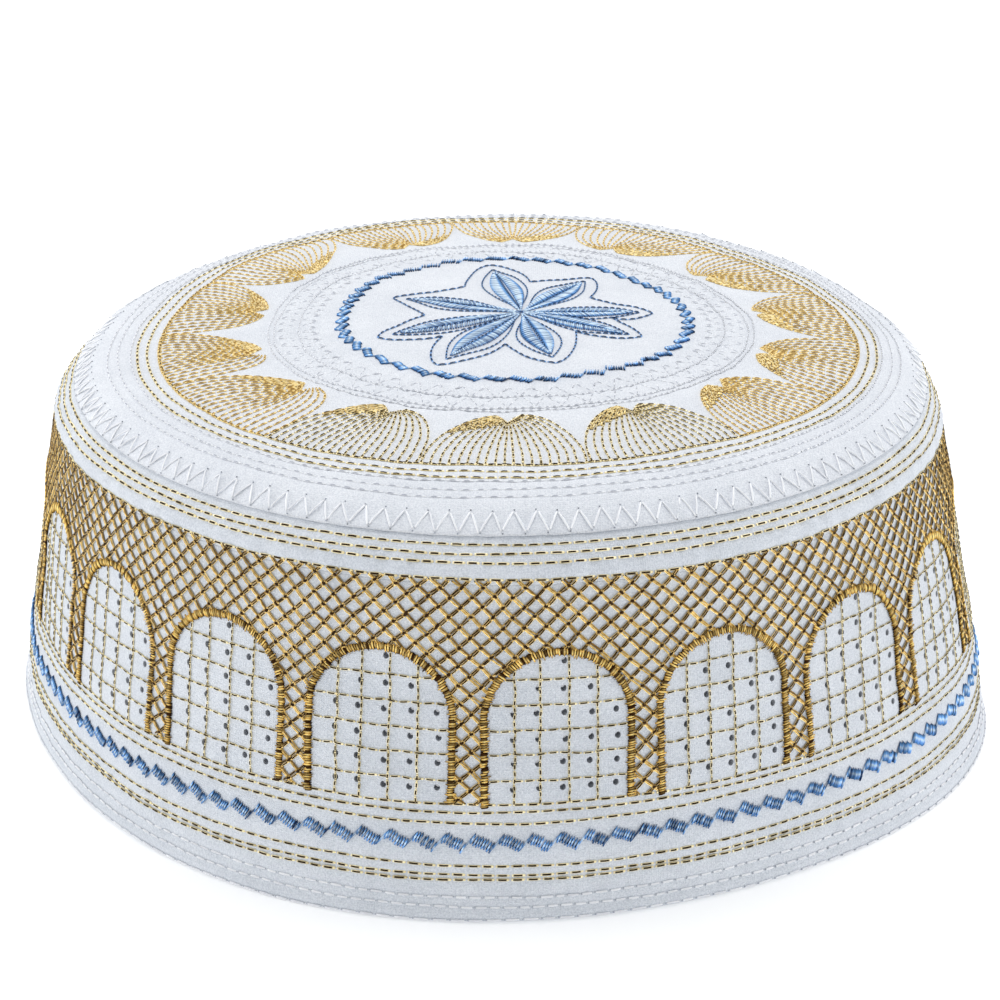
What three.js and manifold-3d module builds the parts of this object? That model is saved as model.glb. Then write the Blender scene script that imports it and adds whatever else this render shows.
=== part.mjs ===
// A soft embroidered kufi (round cap) standing on its hem, in millimetres, +Z up, front towards -Y.
// It is sewn from four pieces: a straight side wall, a bias hem binding, a shoulder band that laps
// over the top of the wall, and a round crown panel that laps over the band.
// Every surface is measured along one meridian of the cap: "level" is the distance in millimetres up
// the outside from the hem, over the shoulder, to the middle of the crown.
import * as THREE from "three";
import { mergeVertices } from "three/addons/utils/BufferGeometryUtils.js";
import Module from "manifold-3d";

// Meridian
const HEM_RADIUS = 96;
const WALL_TOP_RADIUS = 88.1;
const WALL_TOP_HEIGHT = 57.8;
const LOWER_BEND_RADIUS = 10.9;
const UPPER_BEND_RADIUS = 17.4;
const BEND_CHANGE_SLOPE = 47.6;
const CROWN_EDGE_SLOPE = 5.1;

// Plan shape: the cap is oval, longer from front to back, and a little uneven
const HEM_WAVES = [
  { lobes: 1, cosine: 0.5, sine: 0.3 },
  { lobes: 2, cosine: 2.4, sine: 0.3 },
  { lobes: 3, cosine: 0.4, sine: 0.7 },
  { lobes: 4, cosine: -0.2, sine: -2.2 },
  { lobes: 5, cosine: 0.4, sine: 0.3 },
];
const WALL_TOP_WAVES = [
  { lobes: 2, cosine: 6.2, sine: -1.1 },
  { lobes: 3, cosine: -1.0, sine: 0.9 },
  { lobes: 4, cosine: 0.6, sine: -0.7 },
];
const CROWN_WAVES = [
  { lobes: 2, cosine: 4.5, sine: -0.1 },
  { lobes: 3, cosine: -1.1, sine: -0.9 },
];
const LIFT_WAVES = [
  { lobes: 1, cosine: -1.0, sine: 0.5 },
];
const CROWN_WAVE_RADIUS = 70;
const LIFT_RISE = 6;
const CROWN_SHIFT = 2.1;
const CENTRE_Y = -0.95;

// Arcade embroidered round the wall
const ARCHES = 20;
const FIRST_ARCH_TURN = 5.5;
const ARCH_HALF_WIDTH = 12.0;
const ARCH_FOOT_LEVEL = 20.5;
const ARCH_SPRING_LEVEL = 34.6;
const RIB_WIDTH = 1.6;
const RIB_TOP_WIDTH = 0.9;
const RIB_HEIGHT = 0.55;
const RIB_DEPTH = 0.9;
const RIB_LEG_STEPS = 3;
const RIB_BEND_STEPS = 10;

const SIDES = 72;
const TRACE_STEPS = 360;
const DEGREE = Math.PI / 180;
const MERGE_DISTANCE = 1e-4;

// Sections: level along the meridian and depth off the outside surface (negative is inwards)
const WALL_SECTION = [
  { level: 2.0, depth: -1.0 },
  { level: 2.3, depth: 0 },
  { level: 30, depth: 0 },
  { level: 56.6, depth: 0 },
  { level: 57.6, depth: -0.5 },
  { level: 62.2, depth: -1.45 },
  { level: 61.9, depth: -3.2 },
  { level: 56.6, depth: -2 },
  { level: 30, depth: -2 },
  { level: 1.2, depth: -2 },
  { level: 1.2, depth: -1.0 },
];
const HEM_SECTION = [
  { level: 0, depth: 0 },
  { level: 1.9, depth: -0.05 },
  { level: 1.7, depth: -0.7 },
  { level: 0.9, depth: -0.7 },
  { level: 0.9, depth: -2.3 },
  { level: 6.5, depth: -2.3 },
  { level: 6.5, depth: -3.1 },
  { level: 0.42, depth: -3.1 },
];
const BAND_SECTION = [
  { level: 57.7, depth: 0.8 },
  { level: 60, depth: 0.55 },
  { level: 63, depth: 0.1 },
  { level: 65.2, depth: -0.15 },
  { level: 66.2, depth: -0.7 },
  { level: 70.6, depth: -0.75 },
  { level: 70.4, depth: -1.7 },
  { level: 66.2, depth: -1.7 },
  { level: 63, depth: -1.1 },
  { level: 60, depth: -0.6 },
  { level: 57.7, depth: -0.15 },
];
const CROWN_OUTSIDE = [
  { level: 66.5, depth: 0.6 },
  { level: 69, depth: 0.5 },
  { level: 72, depth: 0.25 },
  { level: 75, depth: 0.05 },
  { level: 78.5, depth: 0 },
  { level: 86, depth: 0 },
  { level: 97, depth: 0 },
  { level: 110, depth: 0 },
  { level: 130, depth: 0 },
];
const CROWN_INSIDE = [
  { level: 122, depth: -1.4 },
  { level: 97, depth: -1.4 },
  { level: 83, depth: -1.4 },
  { level: 77, depth: -1.4 },
  { level: 73.6, depth: -1.4 },
  { level: 71.6, depth: -0.4 },
  { level: 69, depth: -0.4 },
  { level: 66.5, depth: -0.35 },
];
const CROWN_THICKNESS = 1.4;

const CLOTH = { color: 0xe9edf3, roughness: 0.85, metalness: 0 };
const CROWN_CLOTH = { color: 0xf1f4f8, roughness: 0.85, metalness: 0 };
const TRIM_CLOTH = { color: 0xdde3ec, roughness: 0.85, metalness: 0 };

const wasm = await Module();
wasm.setup();

// The meridian as lengths of line and arc, worked out from the sizes above.
function meridian() {
  const lean = Math.atan2(HEM_RADIUS - WALL_TOP_RADIUS, WALL_TOP_HEIGHT);
  const bendStart = lean;
  const bendChange = (90 - BEND_CHANGE_SLOPE) * DEGREE;
  const bendEnd = (90 - CROWN_EDGE_SLOPE) * DEGREE;
  const wallLength = WALL_TOP_HEIGHT / Math.cos(lean);
  const lower = {
    radius: LOWER_BEND_RADIUS,
    start: bendStart,
    length: LOWER_BEND_RADIUS * (bendChange - bendStart),
    r: WALL_TOP_RADIUS - LOWER_BEND_RADIUS * Math.cos(bendStart),
    z: WALL_TOP_HEIGHT - LOWER_BEND_RADIUS * Math.sin(bendStart),
  };
  const changeR = lower.r + LOWER_BEND_RADIUS * Math.cos(bendChange);
  const changeZ = lower.z + LOWER_BEND_RADIUS * Math.sin(bendChange);
  const upper = {
    radius: UPPER_BEND_RADIUS,
    start: bendChange,
    length: UPPER_BEND_RADIUS * (bendEnd - bendChange),
    r: changeR - UPPER_BEND_RADIUS * Math.cos(bendChange),
    z: changeZ - UPPER_BEND_RADIUS * Math.sin(bendChange),
  };
  const crownRadius = upper.r + UPPER_BEND_RADIUS * Math.cos(bendEnd);
  const crownEdgeZ = upper.z + UPPER_BEND_RADIUS * Math.sin(bendEnd);
  const fall = Math.tan(CROWN_EDGE_SLOPE * DEGREE) / (2 * crownRadius);
  const top = crownEdgeZ + fall * crownRadius ** 2;
  return { lean, wallLength, lower, upper, crownRadius, fall, top };
}

const M = meridian();
const CROWN_START = M.wallLength + M.lower.length + M.upper.length;

// The point of the mean meridian at a level, with the angle of its outward normal above the horizontal.
function onMeridian(level) {
  if (level <= M.wallLength) {
    return {
      r: HEM_RADIUS - level * Math.sin(M.lean),
      z: level * Math.cos(M.lean),
      tilt: M.lean,
    };
  }
  for (const [bend, begins] of [
    [M.lower, M.wallLength],
    [M.upper, M.wallLength + M.lower.length],
  ]) {
    if (level <= begins + bend.length) {
      const tilt = bend.start + (level - begins) / bend.radius;
      return {
        r: bend.r + bend.radius * Math.cos(tilt),
        z: bend.z + bend.radius * Math.sin(tilt),
        tilt,
      };
    }
  }
  const r = Math.max(M.crownRadius - (level - CROWN_START), 0);
  return {
    r,
    z: M.top - M.fall * r ** 2,
    tilt: Math.PI / 2 - Math.atan(2 * M.fall * r),
  };
}

function wave(table, azimuth) {
  let sum = 0;
  for (const { lobes, cosine, sine } of table) {
    sum += cosine * Math.cos(lobes * azimuth) + sine * Math.sin(lobes * azimuth);
  }
  return sum;
}

// A point of the real, uneven surface: azimuth 0 is the front and grows towards +X.
function surface(level, depth, azimuth) {
  const at = onMeridian(level);
  const { clamp } = THREE.MathUtils;
  const rise = clamp(at.z / WALL_TOP_HEIGHT, 0, 1);
  const overTop = level > M.wallLength;
  const outer = overTop
    ? clamp((at.r - CROWN_WAVE_RADIUS) / (WALL_TOP_RADIUS - CROWN_WAVE_RADIUS), 0, 1)
    : 1;
  const crown = wave(CROWN_WAVES, azimuth) * Math.min(at.r / CROWN_WAVE_RADIUS, 1);
  const upper = wave(WALL_TOP_WAVES, azimuth) * outer + crown * (1 - outer);
  const uneven = wave(HEM_WAVES, azimuth) * (1 - rise) + upper * rise;
  const inward = Math.min(at.r / WALL_TOP_RADIUS, 1);
  const lifted = clamp((at.z - WALL_TOP_HEIGHT) / LIFT_RISE, 0, 1) * inward * inward;
  const r = at.r + uneven + depth * Math.cos(at.tilt);
  const z = Math.max(at.z + wave(LIFT_WAVES, azimuth) * lifted + depth * Math.sin(at.tilt), 0);
  const shift = overTop ? CROWN_SHIFT * (1 - inward) : 0;
  return new THREE.Vector3(
    r * Math.sin(azimuth) + shift,
    -r * Math.cos(azimuth) - CENTRE_Y,
    z,
  );
}

// Azimuths that share the girth at a level into equal lengths of cloth.
function girthTrace(level) {
  const lengths = [0];
  let last = surface(level, 0, -Math.PI);
  for (let i = 1; i <= TRACE_STEPS; i++) {
    const next = surface(level, 0, -Math.PI + (2 * Math.PI * i) / TRACE_STEPS);
    lengths.push(lengths[i - 1] + last.distanceTo(next));
    last = next;
  }
  return lengths;
}

function azimuthAt(trace, distance) {
  const girth = trace[TRACE_STEPS];
  const along = ((distance % girth) + girth) % girth;
  let i = 1;
  while (trace[i] < along) i++;
  const part = (along - trace[i - 1]) / (trace[i] - trace[i - 1]);
  return -Math.PI + (2 * Math.PI * (i - 1 + part)) / TRACE_STEPS;
}

function geometryOf(points, triangles) {
  const positions = points.flatMap((p) => [p.x, p.y, p.z]);
  return new THREE.BufferGeometry()
    .setAttribute("position", new THREE.Float32BufferAttribute(positions, 3))
    .setIndex(triangles);
}

// The points of a section at every side of the cap, one section after another.
function pointsRound(section) {
  const points = [];
  for (let i = 0; i < SIDES; i++) {
    for (const { level, depth } of section) {
      points.push(surface(level, depth, (2 * Math.PI * i) / SIDES));
    }
  }
  return points;
}

// A closed section carried once round the cap.
function ringGeometry(section) {
  const points = pointsRound(section);
  const triangles = [];
  const count = section.length;
  for (let i = 0; i < SIDES; i++) {
    const here = i * count;
    const next = ((i + 1) % SIDES) * count;
    for (let j = 0; j < count; j++) {
      const k = (j + 1) % count;
      triangles.push(here + j, next + j, next + k, here + j, next + k, here + k);
    }
  }
  return geometryOf(points, triangles);
}

// A section whose two ends close on the middle of the crown.
function discGeometry(outside, inside, thickness) {
  const section = [...inside, ...outside];
  const points = pointsRound(section);
  const triangles = [];
  const count = section.length;
  const middle = CROWN_START + M.crownRadius;
  const below = points.push(surface(middle, -thickness, 0)) - 1;
  const above = points.push(surface(middle, 0, 0)) - 1;
  for (let i = 0; i < SIDES; i++) {
    const here = i * count;
    const next = ((i + 1) % SIDES) * count;
    triangles.push(below, next, here);
    for (let j = 0; j + 1 < count; j++) {
      triangles.push(here + j, next + j, next + j + 1);
      triangles.push(here + j, next + j + 1, here + j + 1);
    }
    triangles.push(here + count - 1, next + count - 1, above);
  }
  return geometryOf(points, triangles);
}

// The line of one arch: up a leg, round the half circle and down, as cloth distances from its middle.
function archLine() {
  const line = [];
  const rise = ARCH_SPRING_LEVEL - ARCH_FOOT_LEVEL;
  for (let i = 0; i < RIB_LEG_STEPS; i++) {
    const level = ARCH_FOOT_LEVEL + (rise * i) / RIB_LEG_STEPS;
    line.push({ across: -ARCH_HALF_WIDTH, level, turn: Math.PI });
  }
  for (let i = 0; i <= RIB_BEND_STEPS; i++) {
    const turn = Math.PI * (1 - i / RIB_BEND_STEPS);
    line.push({
      across: ARCH_HALF_WIDTH * Math.cos(turn),
      level: ARCH_SPRING_LEVEL + ARCH_HALF_WIDTH * Math.sin(turn),
      turn,
    });
  }
  for (let i = RIB_LEG_STEPS - 1; i >= 0; i--) {
    const level = ARCH_FOOT_LEVEL + (rise * i) / RIB_LEG_STEPS;
    line.push({ across: ARCH_HALF_WIDTH, level, turn: 0 });
  }
  return line;
}

// One satin-stitched arch as a raised rib whose root lies in the wall.
function ribGeometry(middleTurn) {
  const corners = [
    { side: -RIB_WIDTH / 2, depth: -RIB_DEPTH },
    { side: -RIB_TOP_WIDTH / 2, depth: RIB_HEIGHT },
    { side: RIB_TOP_WIDTH / 2, depth: RIB_HEIGHT },
    { side: RIB_WIDTH / 2, depth: -RIB_DEPTH },
  ];
  const points = [];
  const triangles = [];
  const line = archLine();
  for (const { across, level, turn } of line) {
    for (const { side, depth } of corners) {
      const cornerLevel = level + side * Math.sin(turn);
      const trace = girthTrace(cornerLevel);
      const middle = (trace[TRACE_STEPS] * (middleTurn + 180)) / 360;
      const azimuth = azimuthAt(trace, middle + across + side * Math.cos(turn));
      points.push(surface(cornerLevel, depth, azimuth));
    }
  }
  const count = corners.length;
  for (let i = 0; i + 1 < line.length; i++) {
    for (let j = 0; j < count; j++) {
      const here = i * count;
      const next = here + count;
      const k = (j + 1) % count;
      triangles.push(here + j, here + k, next + k, here + j, next + k, next + j);
    }
  }
  const last = (line.length - 1) * count;
  triangles.push(0, 2, 1, 0, 3, 2);
  triangles.push(last, last + 1, last + 2, last, last + 2, last + 3);
  return geometryOf(points, triangles);
}

function toManifold(geometry) {
  const merged = mergeVertices(geometry, MERGE_DISTANCE);
  return new wasm.Manifold(
    new wasm.Mesh({
      numProp: 3,
      vertProperties: merged.attributes.position.array,
      triVerts: new Uint32Array(merged.index.array),
    }),
  );
}

function fromManifold(solid) {
  const mesh = solid.getMesh();
  return new THREE.BufferGeometry()
    .setAttribute("position", new THREE.BufferAttribute(new Float32Array(mesh.vertProperties), 3))
    .setIndex(new THREE.BufferAttribute(new Uint32Array(mesh.triVerts), 1));
}

function wallWithArches() {
  let solid = toManifold(ringGeometry(WALL_SECTION));
  for (let i = 0; i < ARCHES; i++) {
    const turn = FIRST_ARCH_TURN + (360 * i) / ARCHES;
    solid = solid.add(toManifold(ribGeometry(turn)));
  }
  return fromManifold(solid);
}

function piece(name, geometry, look) {
  geometry.computeVertexNormals();
  const mesh = new THREE.Mesh(geometry, new THREE.MeshStandardMaterial(look));
  mesh.name = name;
  return mesh;
}

const kufi = new THREE.Group();
kufi.add(
  piece("side_wall", wallWithArches(), CLOTH),
  piece("hem_binding", ringGeometry(HEM_SECTION), TRIM_CLOTH),
  piece("shoulder_band", ringGeometry(BAND_SECTION), TRIM_CLOTH),
  piece("crown_panel", discGeometry(CROWN_OUTSIDE, CROWN_INSIDE, CROWN_THICKNESS), CROWN_CLOTH),
);

export default kufi;
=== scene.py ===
# %% [markdown]
# # An embroidered white kufi
# A soft cotton cap with an oval flat crown, standing on its hem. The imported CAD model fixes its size
# and place. Here each CAD solid is replaced by a finely meshed piece of cloth, and the embroidery is
# sewn on it stitch by stitch, because light on raised threads is what makes embroidery look real.

# %% Load the frame
import math

import bpy
import numpy as np
from mathutils import Matrix, Vector


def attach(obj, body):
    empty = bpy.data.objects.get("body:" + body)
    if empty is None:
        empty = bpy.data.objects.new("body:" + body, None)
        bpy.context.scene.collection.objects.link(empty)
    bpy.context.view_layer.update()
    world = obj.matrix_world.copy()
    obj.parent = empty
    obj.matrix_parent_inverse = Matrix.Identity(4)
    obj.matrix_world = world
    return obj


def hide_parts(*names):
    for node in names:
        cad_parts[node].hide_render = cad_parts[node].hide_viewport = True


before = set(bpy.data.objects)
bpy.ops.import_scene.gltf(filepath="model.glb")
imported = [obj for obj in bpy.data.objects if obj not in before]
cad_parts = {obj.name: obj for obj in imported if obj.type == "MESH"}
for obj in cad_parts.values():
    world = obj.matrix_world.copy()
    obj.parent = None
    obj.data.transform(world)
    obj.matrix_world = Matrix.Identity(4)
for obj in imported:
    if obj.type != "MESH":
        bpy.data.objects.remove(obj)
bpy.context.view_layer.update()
print("CAD nodes:", sorted(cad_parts))

# %% [markdown]
# ## The shape of the cap
# Everything is placed by three numbers: the level, which is the distance up the outside from the hem
# over the shoulder to the middle of the crown, the azimuth round the cap (0 at the front), and the
# depth off the surface. One function turns them into a place, so cloth and stitches always agree.

# %% The meridian
HEM_RADIUS = 96.0
WALL_TOP_RADIUS = 88.1
WALL_TOP_HEIGHT = 57.8
BENDS = ((10.9, 47.6), (17.4, 5.1))
LEAN = math.atan2(HEM_RADIUS - WALL_TOP_RADIUS, WALL_TOP_HEIGHT)
BEND_STEPS = 60
CROWN_STEPS = 80
MM = 0.001


def trace_meridian():
    """Level, radius, height and tilt of the outward normal, in small steps up the cap."""
    level, r, z, tilt = [0.0], [HEM_RADIUS], [0.0], [LEAN]
    wall = WALL_TOP_HEIGHT / math.cos(LEAN)
    level.append(wall)
    r.append(WALL_TOP_RADIUS)
    z.append(WALL_TOP_HEIGHT)
    tilt.append(LEAN)
    for radius, slope in BENDS:
        start, end = tilt[-1], math.radians(90 - slope)
        centre_r = r[-1] - radius * math.cos(start)
        centre_z = z[-1] - radius * math.sin(start)
        begins = level[-1]
        for angle in np.linspace(start, end, BEND_STEPS)[1:]:
            level.append(begins + radius * (angle - start))
            r.append(centre_r + radius * math.cos(angle))
            z.append(centre_z + radius * math.sin(angle))
            tilt.append(angle)
    fall = math.tan(math.radians(BENDS[1][1])) / (2 * r[-1])
    top = z[-1] + fall * r[-1] ** 2
    crown_start, crown_radius = level[-1], r[-1]
    for radius in np.linspace(crown_radius, 0, CROWN_STEPS)[1:]:
        level.append(crown_start + crown_radius - radius)
        r.append(radius)
        z.append(top - fall * radius**2)
        tilt.append(math.pi / 2 - math.atan(2 * fall * radius))
    return np.array([level, r, z, tilt]), wall, crown_start, crown_radius


MERIDIAN, WALL_LENGTH, CROWN_START, CROWN_RADIUS = trace_meridian()
CROWN_MIDDLE = CROWN_START + CROWN_RADIUS
print(f"wall {WALL_LENGTH:.1f} mm, crown from level {CROWN_START:.1f}, middle {CROWN_MIDDLE:.1f}")

# %% The uneven oval plan
# Each wave is its number of lobes round the cap, its cosine and its sine, in millimetres.
HEM_WAVES = ((1, 0.5, 0.3), (2, 2.4, 0.3), (3, 0.4, 0.7), (4, -0.2, -2.2), (5, 0.4, 0.3))
WALL_TOP_WAVES = ((2, 6.2, -1.1), (3, -1.0, 0.9), (4, 0.6, -0.7))
CROWN_WAVES = ((2, 4.5, -0.1), (3, -1.1, -0.9))
LIFT_WAVES = ((1, -1.0, 0.5),)
CROWN_WAVE_RADIUS = 70.0
LIFT_RISE = 6.0
CROWN_SHIFT = 2.1
CENTRE_Y = -0.95
NORMAL_STEP_UP = 0.2
NORMAL_STEP_ROUND = 0.01
FLAT_MIDDLE = 1.0


def wave(table, azimuth):
    return sum(c * np.cos(n * azimuth) + s * np.sin(n * azimuth) for n, c, s in table)


def surface(level, azimuth, depth=0.0):
    """Places in metres, as rows of x, y, z."""
    level, azimuth, depth = np.broadcast_arrays(
        np.asarray(level, float), np.asarray(azimuth, float), np.asarray(depth, float)
    )
    at_r, at_z, tilt = (np.interp(level, MERIDIAN[0], MERIDIAN[i]) for i in (1, 2, 3))
    rise = np.clip(at_z / WALL_TOP_HEIGHT, 0, 1)
    over_top = level > WALL_LENGTH
    outer = np.clip((at_r - CROWN_WAVE_RADIUS) / (WALL_TOP_RADIUS - CROWN_WAVE_RADIUS), 0, 1)
    outer = np.where(over_top, outer, 1)
    crown = wave(CROWN_WAVES, azimuth) * np.minimum(at_r / CROWN_WAVE_RADIUS, 1)
    upper = wave(WALL_TOP_WAVES, azimuth) * outer + crown * (1 - outer)
    uneven = wave(HEM_WAVES, azimuth) * (1 - rise) + upper * rise
    inward = np.minimum(at_r / WALL_TOP_RADIUS, 1)
    lifted = np.clip((at_z - WALL_TOP_HEIGHT) / LIFT_RISE, 0, 1) * inward**2
    r = at_r + uneven + depth * np.cos(tilt)
    z = np.maximum(at_z + wave(LIFT_WAVES, azimuth) * lifted + depth * np.sin(tilt), 0)
    shift = np.where(over_top, CROWN_SHIFT * (1 - inward), 0)
    x = r * np.sin(azimuth) + shift
    y = -r * np.cos(azimuth) - CENTRE_Y
    return np.stack([x, y, z], axis=-1) * MM


def normals(level, azimuth):
    """Outward unit normals, from two small steps over the surface."""
    up = surface(level + NORMAL_STEP_UP, azimuth) - surface(level - NORMAL_STEP_UP, azimuth)
    turn = surface(level, azimuth + NORMAL_STEP_ROUND) - surface(level, azimuth - NORMAL_STEP_ROUND)
    near_middle = np.asarray(level) > CROWN_MIDDLE - FLAT_MIDDLE
    across = np.cross(turn, up)
    across = np.where(near_middle[..., None], [0.0, 0.0, 1.0], across)
    return across / np.linalg.norm(across, axis=-1, keepdims=True)


# %% Turns, which share the girth into equal lengths of cloth
TRACE_STEP = 2.5
TRACE_LEVELS = np.arange(0.0, 76.0, TRACE_STEP)
TRACE_AZIMUTHS = np.linspace(-math.pi, math.pi, 721)


def trace_girths():
    points = surface(TRACE_LEVELS[:, None], TRACE_AZIMUTHS[None, :]) / MM
    steps = np.linalg.norm(np.diff(points, axis=1), axis=2)
    lengths = np.concatenate([np.zeros((len(TRACE_LEVELS), 1)), np.cumsum(steps, axis=1)], axis=1)
    return lengths[:, -1], lengths / lengths[:, -1:] * 360 - 180


GIRTHS, TURN_ROWS = trace_girths()


def girth(level):
    return np.interp(level, TRACE_LEVELS, GIRTHS)


def azimuth_of(turn, level):
    """The azimuth of a turn (degrees of girth from the front) at a level of the wall."""
    turn, level = np.broadcast_arrays(np.asarray(turn, float), np.asarray(level, float))
    laps = np.floor((turn + 180) / 360)
    turn = turn - laps * 360
    place = np.clip(level / TRACE_STEP, 0, len(TRACE_LEVELS) - 1.001)
    row = place.astype(int)
    part = place - row
    found = np.zeros(turn.shape)
    for i in np.unique(row):
        here = row == i
        low = np.interp(turn[here], TURN_ROWS[i], TRACE_AZIMUTHS)
        high = np.interp(turn[here], TURN_ROWS[i + 1], TRACE_AZIMUTHS)
        found[here] = low + (high - low) * part[here]
    return found + laps * 2 * math.pi


print(f"girth at the hem {girth(0):.0f} mm, at the top of the wall {girth(WALL_LENGTH):.0f} mm")

# %% [markdown]
# ## Camera, floor and light
# The camera looks down on the cap from the front by about 21 degrees, from half a metre. The floor
# and the light are those of a catalogue picture: everything pale, with one broad light overhead, a
# low one at each side and no hard shadow.

# %% The camera
CAMERA_ELEVATION = 21.4
CAMERA_DISTANCE = 0.48588
CAMERA_TARGET = Vector((0.000665, 0.00095, 0.03428))
CAMERA_ROLL = 0.81
CAMERA_LENS = 90.0
CAMERA_SENSOR = 36.0
CAMERA_SHIFT = (-0.004, 0.002)
CAMERA_NEAREST = 0.01


def add_camera():
    elevation = math.radians(CAMERA_ELEVATION)
    away = Vector((0, -math.cos(elevation), math.sin(elevation)))
    camera = bpy.data.cameras.new("camera")
    camera.lens = CAMERA_LENS
    camera.sensor_width = CAMERA_SENSOR
    camera.shift_x, camera.shift_y = CAMERA_SHIFT
    camera.clip_start = CAMERA_NEAREST
    holder = bpy.data.objects.new("camera", camera)
    bpy.context.scene.collection.objects.link(holder)
    look = away.to_track_quat("Z", "Y").to_matrix().to_4x4()
    roll = Matrix.Rotation(math.radians(CAMERA_ROLL), 4, "Z")
    holder.matrix_world = Matrix.Translation(CAMERA_TARGET + away * CAMERA_DISTANCE) @ look @ roll
    bpy.context.scene.camera = holder


add_camera()
bpy.context.scene.view_settings.view_transform = "Standard"
print(f"camera {CAMERA_DISTANCE * 1000:.0f} mm away, {CAMERA_ELEVATION} degrees above the floor")

# %% Lights and floor
WORLD_TINT = (0.96, 0.98, 1.0, 1)
WORLD_STRENGTH = 0.64
FLOOR_SIZE = 6.0
FLOOR_DROP = 0.0002


def add_light(name, place, aim, size, power):
    light = bpy.data.lights.new(name, "AREA")
    light.shape = "SQUARE"
    light.size = size
    light.energy = power
    holder = bpy.data.objects.new(name, light)
    bpy.context.scene.collection.objects.link(holder)
    holder.location = place
    holder.rotation_euler = (Vector(aim) - Vector(place)).to_track_quat("-Z", "Y").to_euler()


add_light("overhead_light", place=(0.0, 0.35, 1.2), aim=(0, 0, 0.05), size=0.9, power=8.1)
add_light("left_light", place=(-1.2, 0.0, 0.16), aim=(0, 0, 0.03), size=0.7, power=5.6)
add_light("right_light", place=(1.2, 0.0, 0.08), aim=(0, 0, 0.03), size=0.7, power=5.5)

world = bpy.data.worlds.new("studio")
bpy.context.scene.world = world
world.use_nodes = True
sky = world.node_tree.nodes["Background"]
sky.inputs["Color"].default_value = WORLD_TINT
sky.inputs["Strength"].default_value = WORLD_STRENGTH


def clear_selection():
    if bpy.context.object and bpy.context.object.mode != "OBJECT":
        bpy.ops.object.mode_set(mode="OBJECT")
    bpy.ops.object.select_all(action="DESELECT")


clear_selection()
bpy.ops.mesh.primitive_plane_add(size=FLOOR_SIZE, location=(0, 0, -FLOOR_DROP))
floor = bpy.context.object
floor.name = "floor"

# %% [markdown]
# ## Materials
# The cloth is plain white cotton with a bluish cast. Its weave follows each piece's own UV map, which
# is in centimetres of cloth, so the threads run straight along the strip. The embroidery threads are
# coloured along each stitch with painted light and shade: light stops are painted highlights on the
# shiny thread, and dark stops are painted shade, at the ends that dive into the needle holes and in the
# dark dashes on top of the thread. The UV map of a thread holds that: u runs along the stitch and v is
# the tone of the stitch.

# %% Node helpers


def new_material(name):
    material = bpy.data.materials.new(name)
    material.use_nodes = True
    tree = material.node_tree
    return material, tree, tree.nodes["Principled BSDF"]


def add_node(tree, kind, **settings):
    node = tree.nodes.new(kind)
    for key, value in settings.items():
        setattr(node, key, value)
    return node


def set_inputs(node, **values):
    for key, value in values.items():
        node.inputs[key.replace("_", " ")].default_value = value


def math_node(tree, operation, first, second=None):
    node = add_node(tree, "ShaderNodeMath", operation=operation)
    for socket, value in zip(node.inputs, (first, second)):
        if value is None:
            continue
        if isinstance(value, (int, float)):
            socket.default_value = value
        else:
            tree.links.new(value, socket)
    return node.outputs[0]


def noise_node(tree, place, scale, detail, roughness):
    node = add_node(tree, "ShaderNodeTexNoise")
    set_inputs(node, Scale=scale, Detail=detail, Roughness=roughness)
    tree.links.new(place, node.inputs["Vector"])
    return node.outputs["Fac"]


def ramp_node(tree, factor, stops):
    node = add_node(tree, "ShaderNodeValToRGB")
    elements = node.color_ramp.elements
    while len(elements) < len(stops):
        elements.new(0.5)
    for element, (place, colour) in zip(elements, stops):
        element.position = place
        element.color = (*colour, 1)
    tree.links.new(factor, node.inputs["Fac"])
    return node.outputs["Color"]


def bump_chain(tree, heights):
    """Bump nodes in a row: each height is a socket, a strength and a distance in metres."""
    last = None
    for height, strength, distance in heights:
        bump = add_node(tree, "ShaderNodeBump")
        set_inputs(bump, Strength=strength, Distance=distance)
        tree.links.new(height, bump.inputs["Height"])
        if last is not None:
            tree.links.new(last, bump.inputs["Normal"])
        last = bump.outputs["Normal"]
    return last


# %% Cotton cloth
# Each bump is a strength and a distance in metres.
CREASE_BUMP = (0.35, 0.0012)
SLUB_BUMP = (0.6, 0.0003)
WEAVE_BUMP = (0.35, 0.00016)
CLOUD_SHARE = 0.25
MIX_SCALE = 0.8
DARK_STOP = 0.36
LIGHT_STOP = 0.63
SLUB_ROUGHNESS = 0.2
COTTON_ROUGHNESS = 0.72


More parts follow.
